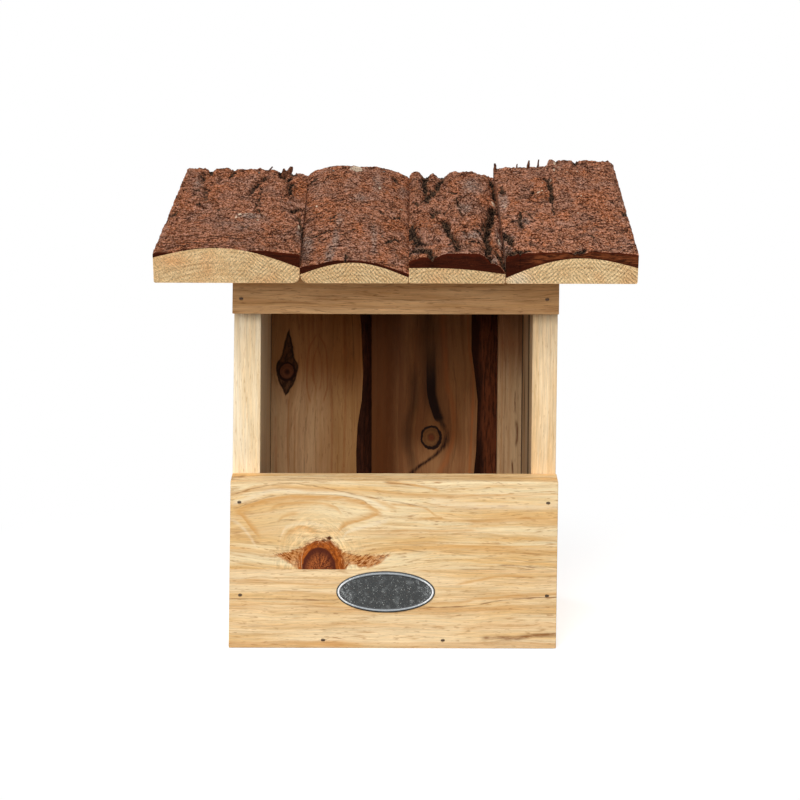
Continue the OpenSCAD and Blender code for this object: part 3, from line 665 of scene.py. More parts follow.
def leftBackDetails(finish, colour, spot, place):
    x, _, z = place
    colour = drawnLines(finish, colour, place, spot, leftBackLines, backTones, 2)
    # the diamond of bark round the knot: a long upper point and a shorter lower one
    uneven = (finish.cloud(spot, scale=0.25, detail=3) - 0.5) * 2.2
    half = finish.add("FloatCurve", {"bends": diamond["outline"]},
                      {"Value": (z - diamond["foot"]) / diamond["long"]})
    middle = (z - diamond["middle"][1]) * diamond["lean"]
    edge = abs(x - diamond["middle"][0] - middle + uneven) - half * diamond["half"]
    bark = edge.ease(0.5, -0.5)
    scaly = finish.cloud(spot, (0.7, 0.7, 0.3), detail=4, roughness=0.7)
    barkColour = finish.blend(scaly.ease(0.4, 0.62), (62, 38, 24), (112, 78, 52))
    rim = ((edge + 0.6) / 0.8).bell()
    colour = colour.mixed(bark, finish.tinted(barkColour, 1 - rim * 0.6))
    colour = roundKnot(finish, colour, spot, x, z, leftKnot)
    colour = outerTone(finish, colour)
    colour = deepShade(finish, colour, z.ease(126, 164), (0.55, 0.39, 0.25))
    return deepShade(finish, colour, x.ease(-60, -36), (0.64, 0.54, 0.4))


def middleBackDetails(finish, colour, spot, place):
    x, _, z = place
    colour = drawnLines(finish, colour, place, spot, middleBackLines,
                        {"tan": (168, 98, 52), "dark": (44, 20, 12)}, 2)
    # painted shade on the left part of the middle board's inner face
    left = x.ease(13, -7)
    colour = colour.mixed(left * indoors(finish) * 0.88, (82, 40, 10))
    shaky = x + (finish.cloud(spot, (0.3, 0.3, 0.05)) - 0.5) * 1.4
    # the dark streak over the knot: a wedge with a sharp left edge, and a soft shade round it
    wedge = finish.stroke(z, shaky, darkWedge, (8.5, 2.4), 6).ease(0.0, 0.62)
    wedge = wedge * (0.5 + z.ease(180, 145) * 0.48) * z.ease(115, 125)
    soft = finish.stroke(z, shaky, darkWedge, (12.0, 9.0), 24) * 0.5
    arc = finish.stroke(z, shaky, [(84, 13), (97, 11.5), (110, 9), (121, 9.6), (139, 13.2),
                                   (160, 13)], 6.0, 18) * 0.5
    soft = finish.more(soft, arc)
    colour = colour.mixed(finish.more(soft, wedge), (30, 11, 4))
    colour = roundKnot(finish, colour, spot, x, z, middleKnot)
    share = (1 - left) * z.ease(92, 116) * (1 - z.ease(180, 196) * 0.3)
    share = share * (1 - x.ease(40, 50) * z.ease(150, 118) * 0.6)
    return deepShade(finish, outerTone(finish, colour), share, (0.5, 0.42, 0.33))


def rightBackDetails(finish, colour, spot, place):
    colour = drawnLines(finish, colour, place, spot, rightBackLines,
                        {"tan": (170, 118, 74), "dark": (96, 46, 26)}, 2)
    return deepShade(finish, outerTone(finish, colour), place[2].ease(142, 176), (0.62, 0.46, 0.38))


floorBoardLook = dict(backLook, grain=0, seed=9, pale=(214, 176, 130), tan=(190, 146, 98),
                      pith=(60, -120))
slabLook = {
    "grain": 1, "seed": 10, "pale": (232, 202, 154), "tan": (218, 182, 132), "line": (186, 142, 92),
    "fleck": (170, 120, 76), "wander": 4, "ripple": 1.6, "pith": (-95, 150), "ringGap": 2.6,
    "ringShare": 0.45, "fleckShare": 0.3, "hairShare": 0.2, "fibreShare": 0.3, "streakShare": 0.2,
    "relief": 0.25, "endShare": 0.25,
}
slabChanges = [
    {"pith": (-97, 150)}, {"pith": (-24, 186), "seed": 12}, {"pith": (36, 130), "seed": 13},
    {"pith": (112, 165), "seed": 14, "pale": (244, 214, 164), "tan": (232, 196, 144)},
]
# ring lines on the cut ends
slabArcs = [
    (0.8, 0.7, [(-136, 237), (-126, 239.2), (-115, 241), (-102, 241.6), (-86, 240.8)]),
    (0.6, 0.9, [(-140, 235), (-128, 237.4), (-112, 238.8), (-96, 239)]),
    (0.5, 0.8, [(-138, 232.6), (-122, 234.4), (-100, 235.4), (-84, 235)]),
    (0.5, 0.7, [(-44, 232.4), (-30, 234.2), (-16, 234.6), (0, 232.6)]),
    (0.5, 0.7, [(14, 233.4), (30, 233.8), (44, 233)]),
    (0.6, 0.7, [(84, 236.6), (98, 239.4), (112, 240), (128, 238.2)]),
    (0.5, 0.8, [(80, 232.6), (98, 235), (116, 235.4), (136, 233)]),
]


def sawMarks(finish, colour, spot, place):
    # slanting marks of the saw on the cut ends, and fuzzy pores between them
    x, _, z = place
    wobble = finish.cloud(spot, scale=0.12) * 5
    down = finish.math("SINE", (x + z + wobble) * 2.7)
    up = finish.math("SINE", (x - z + wobble) * 2.3)
    where = finish.cloud(spot, scale=0.06, detail=1).ease(0.4, 0.6)
    ends = facing(finish, 1)
    pores = finish.cloud(spot, scale=1.5, detail=3, roughness=0.75).ease(0.42, 0.66)
    blush = finish.cloud(spot, scale=0.05).ease(0.5, 0.7)
    warm = softOval(x, z, (-128, 243), (9, 4))
    colour = colour.mixed(finish.more(blush * 0.35, warm * 0.6), (220, 158, 102))
    pale = softOval(x, z, (72, 233), (7, 5))
    colour = colour.mixed(pale * 0.6, (236, 220, 190))
    rings = finish.strokes(x + (pores - 0.5) * 4, z + (pores - 0.5) * 1.2, slabArcs) * ends
    colour = colour.mixed(rings * (0.4 + pores * 0.5), (150, 108, 62))
    down = (down * 0.5 + 0.5) ** 2.0
    up = (up * 0.5 + 0.5) ** 2.0
    calm = x.ease(-78, -104) * 0.7
    shade = ends * ((down * (0.16 + where * 0.36) + up * (0.44 - where * 0.36)) * (1 - calm)
                    + pores * 0.7)
    return finish.tinted(colour, 1.43 - calm * ends * 0.1 - shade)


pine = {
    "upper": pineFinish("frontPineUpper", upperLook, upperDetails),
    "lower": pineFinish("frontPineLower", lowerLook, lowerDetails),
    "rail": pineFinish("railPine", railLook, railDetails),
    "sideLeft": pineFinish("sidePineLeft", sideLook, innerLines),
    "sideRight": pineFinish("sidePineRight", rightSideLook, innerShade),
    "backLeft": pineFinish("backPineLeft", leftBackLook, leftBackDetails),
    "backMiddle": pineFinish("backPineMiddle", middleBackLook, middleBackDetails),
    "backRight": pineFinish("backPineRight", rightBackLook, rightBackDetails),
    "floor": pineFinish("floorPine", floorBoardLook),
}
for number, change in enumerate(slabChanges, 1):
    pine["slab%d" % number] = pineFinish("slabPine%d" % number, dict(slabLook, **change), sawMarks)
print("pine finishes made")

barkLook = {
    "main": (175, 113, 81), "rust": (186, 106, 58), "grey": (160, 140, 127), "dark": (72, 26, 7),
    "pit": (24, 14, 11), "crumb": (104, 80, 62), "chip": (218, 160, 124), "fold": (50, 20, 8),
    "pale": (232, 206, 178),
}


def barkFinish():
    # the noises are longer up the slope, as the roof is seen nearly edge on
    finish = Finish("roofBark")
    look = barkLook
    spot = finish.spot()
    grit = finish.cloud(spot, (1.0, 0.42, 1.1), detail=2, roughness=0.6)
    specks = finish.cloud(spot, (0.95, 0.36, 1.0), (9, 3, 6), detail=1, roughness=0.6)
    scales = finish.cloud(spot, (0.24, 0.36, 0.5), (4, 8, 1), detail=4, roughness=0.7)
    coarse = finish.cloud(spot, (0.2, 0.09, 0.3), (5, 9, 2), detail=4, roughness=0.7)
    patches = finish.cloud(spot, (0.06, 0.03, 0.05), (3, 1, 7), detail=3)
    dull = finish.cloud(spot, (0.09, 0.04, 0.05), (31, 17, 5), detail=3)
    # thin dark wrinkles that run across the slab
    folds = finish.cloud(spot, (0.07, 0.15, 0.12), (13, 4, 8), detail=2, roughness=0.6)
    broken = finish.cloud(spot, (0.1, 0.07, 0.1), (2, 14, 8), detail=3)
    creases = finish.cloud(spot, (0.12, 0.16, 0.2), (6, 2, 3), detail=2, roughness=0.6)
    # thin ridges that follow the saw near the eave
    ripples = finish.cloud(spot, (0.03, 0.14, 0.14), (8, 1, 5), detail=1)
    x, y, _ = finish.parts(spot)
    ripples = ((ripples - 0.5) / 0.04).bell() * y.ease(-62, -96) * x.ease(-48, -66)
    wrinkle = finish.more(((folds - 0.5) / 0.03).bell() * broken.ease(0.44, 0.54),
                          ((creases - 0.5) / 0.035).bell() * broken.ease(0.5, 0.42) * 0.8)
    cleft, grey, rust, pale = [
        finish.layer(name) for name in ("cleft", "grey", "rust", "pale")]
    uneven = (coarse - 0.5) * 1.8
    colour = finish.blend(patches.ease(0.46, 0.6) * 0.5, look["main"], look["rust"])
    colour = colour.mixed((rust + uneven * rust).ease(0.15, 0.95) * 0.7, look["rust"])
    colour = colour.mixed(dull.ease(0.48, 0.6) * 0.45, (158, 120, 102))
    colour = colour.mixed((grey + uneven * grey).ease(0.15, 0.95) * 0.7, look["grey"])
    mottle = grit * 0.72 + scales * 0.28
    colour = finish.tinted(colour, 1.02 + (mottle - 0.5) * 1.6 + x.ease(46, 56) * 0.07)
    colour = colour.mixed(mottle.ease(0.5, 0.6) * 0.75, finish.tinted(colour, 1.42, 0.8))
    colour = colour.mixed(mottle.ease(0.5, 0.4) * 0.9, look["dark"])
    # painted shadow under the bark's scales
    colour = colour.mixed(scales.ease(0.43, 0.35) * 0.7, look["dark"])
    colour = colour.mixed(finish.more(wrinkle * 0.95, ripples * 0.9), look["fold"])
    colour = colour.mixed(specks.ease(0.58, 0.68) * 0.5, look["chip"])
    # painted shade in the cracks and hollows, with lighter crumbs in it
    pit = finish.blend(specks.ease(0.45, 0.58) * 0.85, look["pit"], look["crumb"])
    colour = colour.mixed((cleft + (grit - 0.5) * 0.9).ease(0.26, 0.66), pit)
    colour = colour.mixed((pale + (grit - 0.5) * 0.5).ease(0.42, 0.56), look["pale"])
    relief = finish.relief(grit * 0.7 + scales * 0.5 + coarse * 0.7 - wrinkle * 0.5, 1.8)
    return finish.drive({"Base Color": colour, "Roughness": 0.86, "Normal": relief,
                         "Specular IOR Level": 0.04})


def sawnBarkFinish():
    # the cut end of the bark: thin dark layers that follow the log, warmer next to the wood
    finish = Finish("sawnBark")
    spot = finish.spot()
    layers = finish.cloud(spot, (0.16, 0.8, 1.3), detail=4, roughness=0.7)
    grit = finish.cloud(spot, scale=1.3, detail=3, roughness=0.7)
    deep = finish.layer("cleft")
    lift = finish.layer("lift")
    x = finish.parts(spot)[0]
    warm = (x + (layers - 0.5) * 30).ease(72, 92)
    middle = finish.blend(warm, (66, 26, 12), (124, 66, 36))
    colour = finish.blend(layers.ease(0.38, 0.62), (44, 15, 7), middle)
    colour = colour.mixed(grit.ease(0.6, 0.75) * 0.45, (140, 80, 46))
    colour = colour.mixed((lift + (layers - 0.5) * 0.5).ease(0.74, 0.92) * 0.75, (74, 24, 9))
    colour = colour.mixed((lift + (layers - 0.5) * 0.4).ease(0.35, 0.1) * 0.7, (60, 22, 9))
    # painted shade where a crack meets the cut end
    return finish.drive({"Base Color": finish.tinted(colour, 1 - deep * 0.4), "Roughness": 0.8,
                         "Normal": finish.relief(layers * 0.6 + grit * 0.5, 0.5),
                         "Specular IOR Level": 0.04})


roofBark = barkFinish()
sawnBark = sawnBarkFinish()


# the roof's slope and underside, its four slabs' gap and shift to the right at the eave and at
# the wall, the cell of the bark's mesh and the rows of its sawn edge, the least thickness, how
# far it seals the gaps and stays under the solid's top, and the length of its lumps
roof = {"slope": math.radians(12.6), "eaveY": -115.0, "underAtFace": 240.0, "faceY": -71.0,
        "depth": 186.0, "gap": 0.4, "shift": (0.9, 3.4), "cell": 0.52, "sawnRows": 5, "least": 0.4,
        "seal": 0.25, "room": 0.05, "lumpWide": 13.0, "lumpLong": 22.0}
# how far in from the sides and from the eave the bark is worn, and how deep
barkWear = {"side": (1.1, 0.5), "eave": (0.7, 0.25)}
# noises of the bark: how dense across and up the slope, and which layer of the noise
barkNoises = {"flakes": (0.22, 0.13, 30), "scales": (0.55, 0.3, 40), "grains": (1.05, 0.55, 50),
              "jagAcross": (0.35, 0.2, 0), "jagUp": (0.3, 0.18, 9), "broken": (0.3, 0.16, 20),
              "wrinkle": (0.1, 0.5, 60)}
# every pair is at the eave and at the wall; bark as (share of the width, thickness)
slabs = [
    {"width": (85, 79.8), "woodLeft": (15.4, 14.5), "woodRight": (9.3, 9.3),
     "woodCrown": (8.7, 3.2), "lump": 0.7, "rough": 0.85, "sink": 1.2,
     "barkEave": [(0, 2.6), (0.05, 2), (0.11, 1.2), (0.18, 0.8), (0.25, 0.5), (0.32, 0.4),
                  (0.62, 0.4), (0.65, 0.9), (0.72, 2.4), (0.79, 3.9), (0.855, 4.9), (0.92, 6.6),
                  (1, 8.4)],
     "barkWall": [(0, 4.5), (0.1, 4.6), (0.25, 3.2), (0.45, 3.6), (0.6, 4.2), (0.7, 5.4),
                  (0.85, 6), (1, 5.4)]},
    {"width": (62.8, 66.7), "woodLeft": (5.4, 8.2), "woodRight": (3.7, 7), "woodCrown": (8, 8.6),
     "lump": 0.5, "rough": 0.55, "sink": 1.0,
     "barkEave": [(0, 4.8), (0.07, 3.9), (0.165, 2.8), (0.26, 2.8), (0.35, 2.4), (0.45, 1.7),
                  (0.54, 1.6), (0.63, 1.7), (0.73, 1.8), (0.82, 1.9), (0.915, 2.2), (1, 2.6)],
     "barkWall": [(0, 6.6), (0.05, 7.5), (0.15, 7.7), (0.2, 7.3), (0.25, 6.4), (0.3, 5.8),
                  (0.4, 5), (0.5, 4.6), (0.6, 4.7), (0.7, 6), (0.8, 6.7), (0.9, 6.5), (1, 6)]},
    {"width": (55.9, 55), "woodLeft": (9.4, 9), "woodRight": (5.8, 7.4), "woodCrown": (1.4, 1),
     "lump": 1.0, "rough": 1.1,
     "barkEave": [(0, 4.3), (0.05, 5.2), (0.1, 6.1), (0.15, 7.1), (0.21, 8), (0.3, 8.4),
                  (0.36, 8.9), (0.42, 9.4), (0.52, 9.9), (0.63, 10.2), (0.73, 10.4), (0.78, 9.8),
                  (0.82, 8.4), (0.84, 7.6), (0.89, 6.4), (0.945, 4.1), (1, 1.5)],
     "barkWall": [(0, 3.9), (0.05, 7.9), (0.125, 7.6), (0.18, 5.4), (0.3, 5), (0.45, 5.2),
                  (0.5, 6.4), (0.55, 7.1), (0.7, 7.5), (0.8, 7.3), (0.9, 6.2), (1, 5.5)]},
    {"width": (76.7, 79.1), "woodLeft": (3.6, 6), "woodRight": (9.7, 12.4),
     "woodCrown": (8.7, 6.4), "lump": 0.6, "rough": 0.8,
     "barkEave": [(0, 13.9), (0.03, 13.1), (0.07, 12.8), (0.106, 11.9), (0.143, 10.8),
                  (0.18, 9.7), (0.257, 7.7), (0.33, 6.4), (0.41, 4.8), (0.48, 4.3), (0.56, 3.8),
                  (0.63, 4.2), (0.71, 4.8), (0.785, 5.5), (0.86, 6.6), (0.936, 7.6), (1, 8.5)],
     "barkWall": [(0, 16.8), (0.025, 15.4), (0.1, 14.2), (0.15, 12.9), (0.2, 11.9), (0.25, 10.9),
                  (0.3, 10.1), (0.4, 9.2), (0.48, 9.2), (0.6, 8.6), (0.7, 8.2), (0.8, 9),
                  (0.9, 10), (0.95, 10.4), (1, 9)]},
]
# deep cracks, slab by slab: depth, half-width, points as (x from the left edge, y up the slope)
cracks = [
    [(1.8, 2.6, [(11, 182.2), (14.4, 154.8), (17.5, 130.3), (21.4, 110.6)]),
     (1.6, 1.2, [(32.1, 183.3), (30.2, 167.2)]),
     (3.2, 1.8, [(53.5, 171), (51.1, 158.4), (48.2, 145.6), (46.5, 127.5)]),
     (1.0, 1.0, [(52.5, 140.6), (54.1, 118.5), (53.1, 106.6), (52.5, 90.2)]),
     (1.2, 0.9, [(55.2, 87.7), (58.2, 71.7)]), (3.5, 1.8, [(63.9, 171.2), (65, 185)]),
     (2.4, 1.4, [(67, 164.8), (70.1, 177.5)]),
     (4.5, 2.2, [(70.6, 159.4), (70.1, 146.1), (71.6, 131.9)]),
     (5.0, 2.8, [(75.6, 97.5), (78.3, 104.2)]), (5.0, 2.4, [(79.5, 83.3), (80.5, 76.8)]),
     (3.0, 1.8, [(82.3, 66.2), (85, 39.8)]), (2.4, 1.8, [(2.2, 79.7), (4, 85.7)]),
     (2.4, 2.0, [(-1.2, 67.4), (0.1, 71.7)]), (1.2, 1.0, [(15.9, 96.9), (16.9, 111)]),
     (1.0, 1.0, [(28.9, 85), (31.6, 89.3)]), (1.2, 1.4, [(11.3, 135), (13.4, 139.9)]),
     (1.0, 1.1, [(48.4, 50.4), (50.9, 49.3)]), (2.8, 1.8, [(16.2, 192), (16.4, 178)]),
     (1.4, 1.4, [(30.2, 192), (31.6, 182)]), (2.6, 2.2, [(61.6, 192), (63, 176)]),
     (2.2, 2, [(70, 192), (71.6, 182)])],
    [(1.0, 0.8, [(2, 54.2), (8.7, 53), (13.6, 55.3), (19, 58.3)]),
     (0.9, 0.8, [(10.2, 43), (14.4, 43.5)]), (0.9, 0.8, [(14.3, 79.7), (18, 82), (21.6, 90.8)]),
     (0.9, 0.7, [(16.3, 72.9), (20.5, 79.2)]), (0.8, 0.8, [(22.7, 47.6), (26.9, 49.5)]),
     (0.7, 0.8, [(27.5, 57.1), (32.3, 57.6)]), (0.7, 0.7, [(34.1, 77.2), (37.7, 82.1)]),
     (1.5, 1.0, [(46.5, 99), (50.2, 93.9), (54.5, 90.5), (60.2, 99.1)]),
     (0.8, 0.8, [(45.6, 54.7), (48.6, 55.1)]), (1.0, 0.9, [(49.1, 41), (52.8, 46.2), (57.1, 52.4)]),
     (1.2, 1.2, [(56.1, 173), (59.9, 165.3)]), (1.0, 1.0, [(1.6, 167.3), (6.2, 171.5)]),
     (1.0, 1.0, [(11, 159.8), (13.4, 171.3)]), (1.6, 0.9, [(25.7, -3.7), (26.7, 9.1)]),
     (0.8, 1.0, [(40.8, 75.1), (42.6, 70)])],
    [(3.6, 2.2, [(9.8, 184), (10.3, 150.2), (11.4, 124.8)]),
     (3.2, 2.4, [(19.6, 174.1), (18.1, 158.2), (13.4, 137.4), (8.2, 120.4)]),
     (6.0, 2.8, [(16.8, 100), (21.2, 98.9)]), (3.0, 1.8, [(14.9, 92.9), (14.8, 83.4)]),
     (7.0, 2.6, [(21, 82), (22.6, 67.3), (23.5, 50.8), (25.7, 39), (27.9, 29.4)]),
     (4.0, 1.8, [(28.5, 27.1), (28.1, 10)]),
     (6.0, 4.4, [(0.6, 71.9), (1.8, 56.2), (4.2, 40.8), (7.2, 32.2)]),
     (4.0, 2.6, [(0.7, 19.5), (4.8, 18.5), (9.5, 16.3), (12.9, 3.7), (17.3, -7.4)]),
     (4.5, 1.8, [(52.9, 182.3), (54.1, 160.4), (54, 140.2)]),
     (4.0, 1.6, [(49.9, 134.4), (53.7, 133.2)]),
     (5.5, 3.0, [(52.6, 120.4), (50.6, 99.4), (47.9, 75), (45.2, 50.4)]),
     (5.5, 3.2, [(46.3, 46.5), (46.2, 25.4), (46.7, 6.6)]),
     (4.5, 2.2, [(51.2, 31.8), (53.2, 21.4), (55.1, 8)]),
     (1.8, 1.0, [(29.1, 122.1), (31.2, 102), (32.1, 83.1)]),
     (1.2, 1.0, [(25.6, 138), (30.1, 136.7)]), (1.0, 0.8, [(39.1, 47.8), (44.1, 54.6)]),
     (0.9, 0.8, [(31.2, 44.5), (34.8, 44.8)]), (0.9, 0.7, [(35.5, 23.3), (42.7, 26.5)]),
     (0.8, 0.7, [(20.7, 20.5), (31.2, 18.5)]), (1.4, 1.2, [(1.8, 121.6), (6.2, 107.9)]),
     (3.6, 3, [(10, 192), (9.8, 182)]), (3.2, 3.4, [(21.4, 192), (20, 172)])],
    [(3.2, 2.2, [(33.4, 159.5), (33.4, 139.1), (33.4, 119.2), (33, 104.2)]),
     (2.2, 1.8, [(3.2, 136.1), (3.2, 122.8)]),
     (2.0, 1.2, [(12.9, 79.3), (10.8, 62.9), (11.8, 46.8)]), (1.6, 1.3, [(5.2, 60), (9.1, 65)]),
     (4.5, 1.6, [(-1.5, 44.6), (1.6, 35.1), (4.4, 19.5)]),
     (3.5, 1.4, [(-1.7, -0.1), (3.3, 7.5), (8.4, 6.4)]),
     (2.5, 1.2, [(3, 2.2), (8.8, 2.7), (14.2, 6.2)]), (2.0, 1.6, [(40, 1.1), (45.4, 2.9)]),
     (1.2, 1.0, [(48, 34.5), (53.9, 27.1)]), (1.3, 1.1, [(70.1, 99.2), (73.7, 91.8)]),
     (2.4, 1.8, [(76, 77.3), (78.5, 83)]), (1.2, 1.2, [(20.7, 119.4), (22.7, 121.3)]),
     (2.0, 0.9, [(-0.6, 46), (2.2, 41.5), (5, 26)]), (0.9, 0.8, [(13.6, 84), (17.8, 74), (19, 66)]),
     (1.8, 1.4, [(53.4, 192), (53.6, 182)]), (1.4, 1.6, [(41.5, 192), (41.8, 184)]),
     (1.1, 0.8, [(33.2, 106), (32.6, 92), (32, 74)])],
]
# soft patches of colour, slab by slab: x, y, half-width, half-length, strength
patches = {
    "grey": [
        [(50, 74, 11, 7, 1.0), (46, 46, 15, 24, 0.6), (11, 152, 4, 24, 0.7), (82, 46, 3, 24, 0.8)],
        [(17, 14, 3.6, 22, 1.0), (20, 40, 2.6, 24, 0.9), (22, 76, 3, 28, 0.7),
         (43, 40, 2.6, 44, 0.7), (35, 120, 8, 9, 0.8), (45, 154, 4, 26, 0.7), (62, 150, 4, 20, 0.6),
         (3, 36, 5, 34, 0.8), (8, 140, 6, 26, 0.6)],
        [(34, 100, 6, 16, 0.9), (40, 153, 8, 22, 0.9), (38, 37, 8, 10, 0.8), (54, 56, 2.6, 24, 1.0),
         (49, 9, 3, 9, 1.0), (5, 20, 6, 8, 0.8)],
        [(3, 106, 4, 22, 1.0), (14, 61, 4, 10, 0.9), (2, 31, 5, 12, 1.0), (0.5, 11, 4, 7, 1.0)],
    ],
    "rust": [
        [(77, 152, 6, 30, 1.0), (18, 12, 30, 14, 0.7), (26, 165, 12, 16, 0.6)],
        [(36, 66, 7, 44, 0.8), (54, 158, 7, 18, 1.0), (56, 80, 8, 28, 0.8), (10, 96, 7, 40, 0.5)],
        [(3.8, 181, 5, 10, 0.9), (33, 18, 12, 10, 0.5)],
        [(57, 16, 7, 8, 0.8), (22, 165, 14, 18, 0.5), (58, 150, 12, 30, 0.4)],
    ],
    "pale": [
        [(42.6, 69, 1.0, 2.2, 0.8), (44.5, 75, 1.5, 2.2, 0.9), (48, 77.5, 1.8, 1.6, 1.0),
         (50.9, 79.8, 1.5, 1.8, 0.8), (56, 64, 1.6, 1.6, 0.6), (81, 62, 1.0, 5, 0.7)],
        [(31.8, 184, 4.6, 6.5, 1.0), (46.9, 143.9, 0.8, 1.8, 1.0), (7.2, 110.2, 0.8, 1.6, 0.9),
         (60, 115.2, 0.8, 1.6, 0.9)],
        [(53, 129, 1.6, 4, 0.7), (53.6, 50, 1.4, 7, 0.6)],
        [(29.1, 140.8, 1.0, 2.4, 1.0), (34.8, 149.1, 0.8, 2.2, 1.0), (25.6, 119.8, 1.7, 1.2, 0.8),
         (27.9, 122.4, 0.8, 1.4, 0.9), (46.3, 162.7, 0.8, 2, 0.9), (53.2, 164.1, 1.3, 1.4, 0.8),
         (51.5, 109.6, 0.8, 1.4, 0.8), (3.7, 94.2, 0.8, 1.8, 0.8), (46.8, 72.9, 0.8, 1.6, 0.7),
         (39.6, 182, 0.9, 5, 0.9), (38.4, 168, 0.7, 5, 0.8), (41.6, 173, 0.7, 4, 0.7)],
    ],
}
# where the bark of one slab has come off in a step: shares of its width and length
ledge = {"slab": 3, "u": 0.475, "v": 0.72, "drop": 3.8, "edge": 1.6, "fade": 30.0}
slabLength = roof["depth"] / math.cos(roof["slope"])


def between(pair, share):
    # from the first value at 0 to the second at 1
    return pair[0] * (1 - share) + pair[1] * share


def smooth(low, high, value):
    share = min(1.0, max(0.0, (value - low) / (high - low)))
    return share * share * (3 - 2 * share)


def listed(points, share):
    # a value read off a line of (share, value)
    for (a, p), (b, q) in zip(points, points[1:]):
        if share <= b:
            return p + (q - p) * (share - a) / (b - a)
    return points[-1][1]


def leftEdge(number, v):
    # where a slab starts on the left, v up the slope
    whole = [sum(s["width"][end] for s in slabs) + (len(slabs) - 1) * roof["gap"] for end in (0, 1)]
    before = [sum(s["width"][end] for s in slabs[:number]) for end in (0, 1)]
    ends = [roof["shift"][end] - whole[end] / 2 + before[end] for end in (0, 1)]
    return number * roof["gap"] + between(ends, v)


def onRoof(x, y, z):
    # from the roof's slope to the frame: x across, y up the slope from the eave, z out of it
    c, s = math.cos(roof["slope"]), math.sin(roof["slope"])
    eaveZ = roof["underAtFace"] + (roof["eaveY"] - roof["faceY"]) * math.tan(roof["slope"])
    return Vector((x, roof["eaveY"] + y * c - z * s, eaveZ + y * s + z * c)) * mm


def woodTop(slab, u, v):
    # height of the round side of the wood
    return between(slab["woodLeft"], v) * (1 - u) + between(slab["woodRight"], v) * u \
        + between(slab["woodCrown"], v) * math.sin(math.pi * u)


def lumps(number, x, y):
    across = x + 3 * math.sin(math.radians(17 * y + 40 * number))
    along = y + 5 * math.sin(math.radians(23 * x + 70 * number))
    wide, long, turn = roof["lumpWide"], roof["lumpLong"], 2 * math.pi
    main = math.sin(turn * across / wide + math.radians(90 * number))
    slanted = math.sin(turn * (across + 0.6 * along) / (1.7 * wide) + math.radians(50 * number))
    return slabs[number]["lump"] * (0.6 * main * math.sin(turn * along / long) + 0.4 * slanted)


# cracks gape wider up the slope than across it; fullDark is how deep against its width a crack must
# be for its full painted shade
crackShape = {"squat": 0.25, "roomAcross": 2.5, "roomUp": 5, "fullDark": 1.2}


def stretchesOf(rows):
    # the straight stretches of a slab's cracks, each with the room that it reaches
    found = []
    for depth, reach, line in rows:
        across, up = crackShape["roomAcross"] * reach, crackShape["roomUp"] * reach
        for (ax, ay), (bx, by) in zip(line, line[1:]):
            room = (min(ax, bx) - across, max(ax, bx) + across, min(ay, by) - up, max(ay, by) + up)
            found.append((room, ax, ay, bx - ax, by - ay, depth, reach))
    return found


stretches = [stretchesOf(rows) for rows in cracks]


def crackDepth(number, x, y):
    # how deep the place lies in a crack, and how much painted shade the crack gets there
    deepest, nearest, squat = 0.0, 0.0, crackShape["squat"]
    for room, ax, ay, dx, dy, depth, reach in stretches[number]:
        if not (room[0] < x < room[1] and room[2] < y < room[3]):
            continue
        share = ((x - ax) * dx + (y - ay) * dy * squat) / (dx * dx + dy * dy * squat)
        share = min(1.0, max(0.0, share))
        off = ((x - ax - share * dx) ** 2 + (y - ay - share * dy) ** 2 * squat) / reach ** 2
        deepest = max(deepest, depth * math.exp(-off))
        nearest = max(nearest, math.exp(-off) * min(1.0, depth / reach / crackShape["fullDark"]))
    return deepest, nearest


def patchShare(rows, x, y):
    # how much of a patch's colour the place has
    share = 0.0
    for middleX, middleY, wide, long, strength in rows:
        off = ((x - middleX) / wide) ** 2 + ((y - middleY) / long) ** 2
        if off < 4:
            share = max(share, strength * math.exp(-off))
    return share


def barkRelief(number, x, y):
    # height over the smooth bark, and how deep in a cleft or hollow the place is, which the
    # finishes paint as shade
    found = {key: noise.noise(Vector((x * across, y * up, number + layer)))
             for key, (across, up, layer) in barkNoises.items()}
    flakes, scales, grains = found["flakes"], found["scales"], found["grains"]
    jagX = found["jagAcross"] * 1.3 + scales * 1.4 + grains * 0.9
    jagY = found["jagUp"] * 3.0 + grains * 2.4
    broken = 0.85 + found["broken"] * 0.7 + scales * 0.6
    deepest, nearest = crackDepth(number, x + jagX, y + jagY)
    crack = max(0.0, deepest * broken)
    fine = flakes * 0.7 + scales * 0.8 + grains * 0.5 + found["wrinkle"] * 0.5
    rough = slabs[number]["rough"]
    settled = 0.2 + 0.8 * smooth(0, 6, y)  # the saw left a clean edge at the eave
    height = (lumps(number, x, y) + fine * rough) * settled - crack
    cleft = min(1.0, nearest * broken) + max(0.0, -scales - 0.15) * 0.6
    return height, cleft


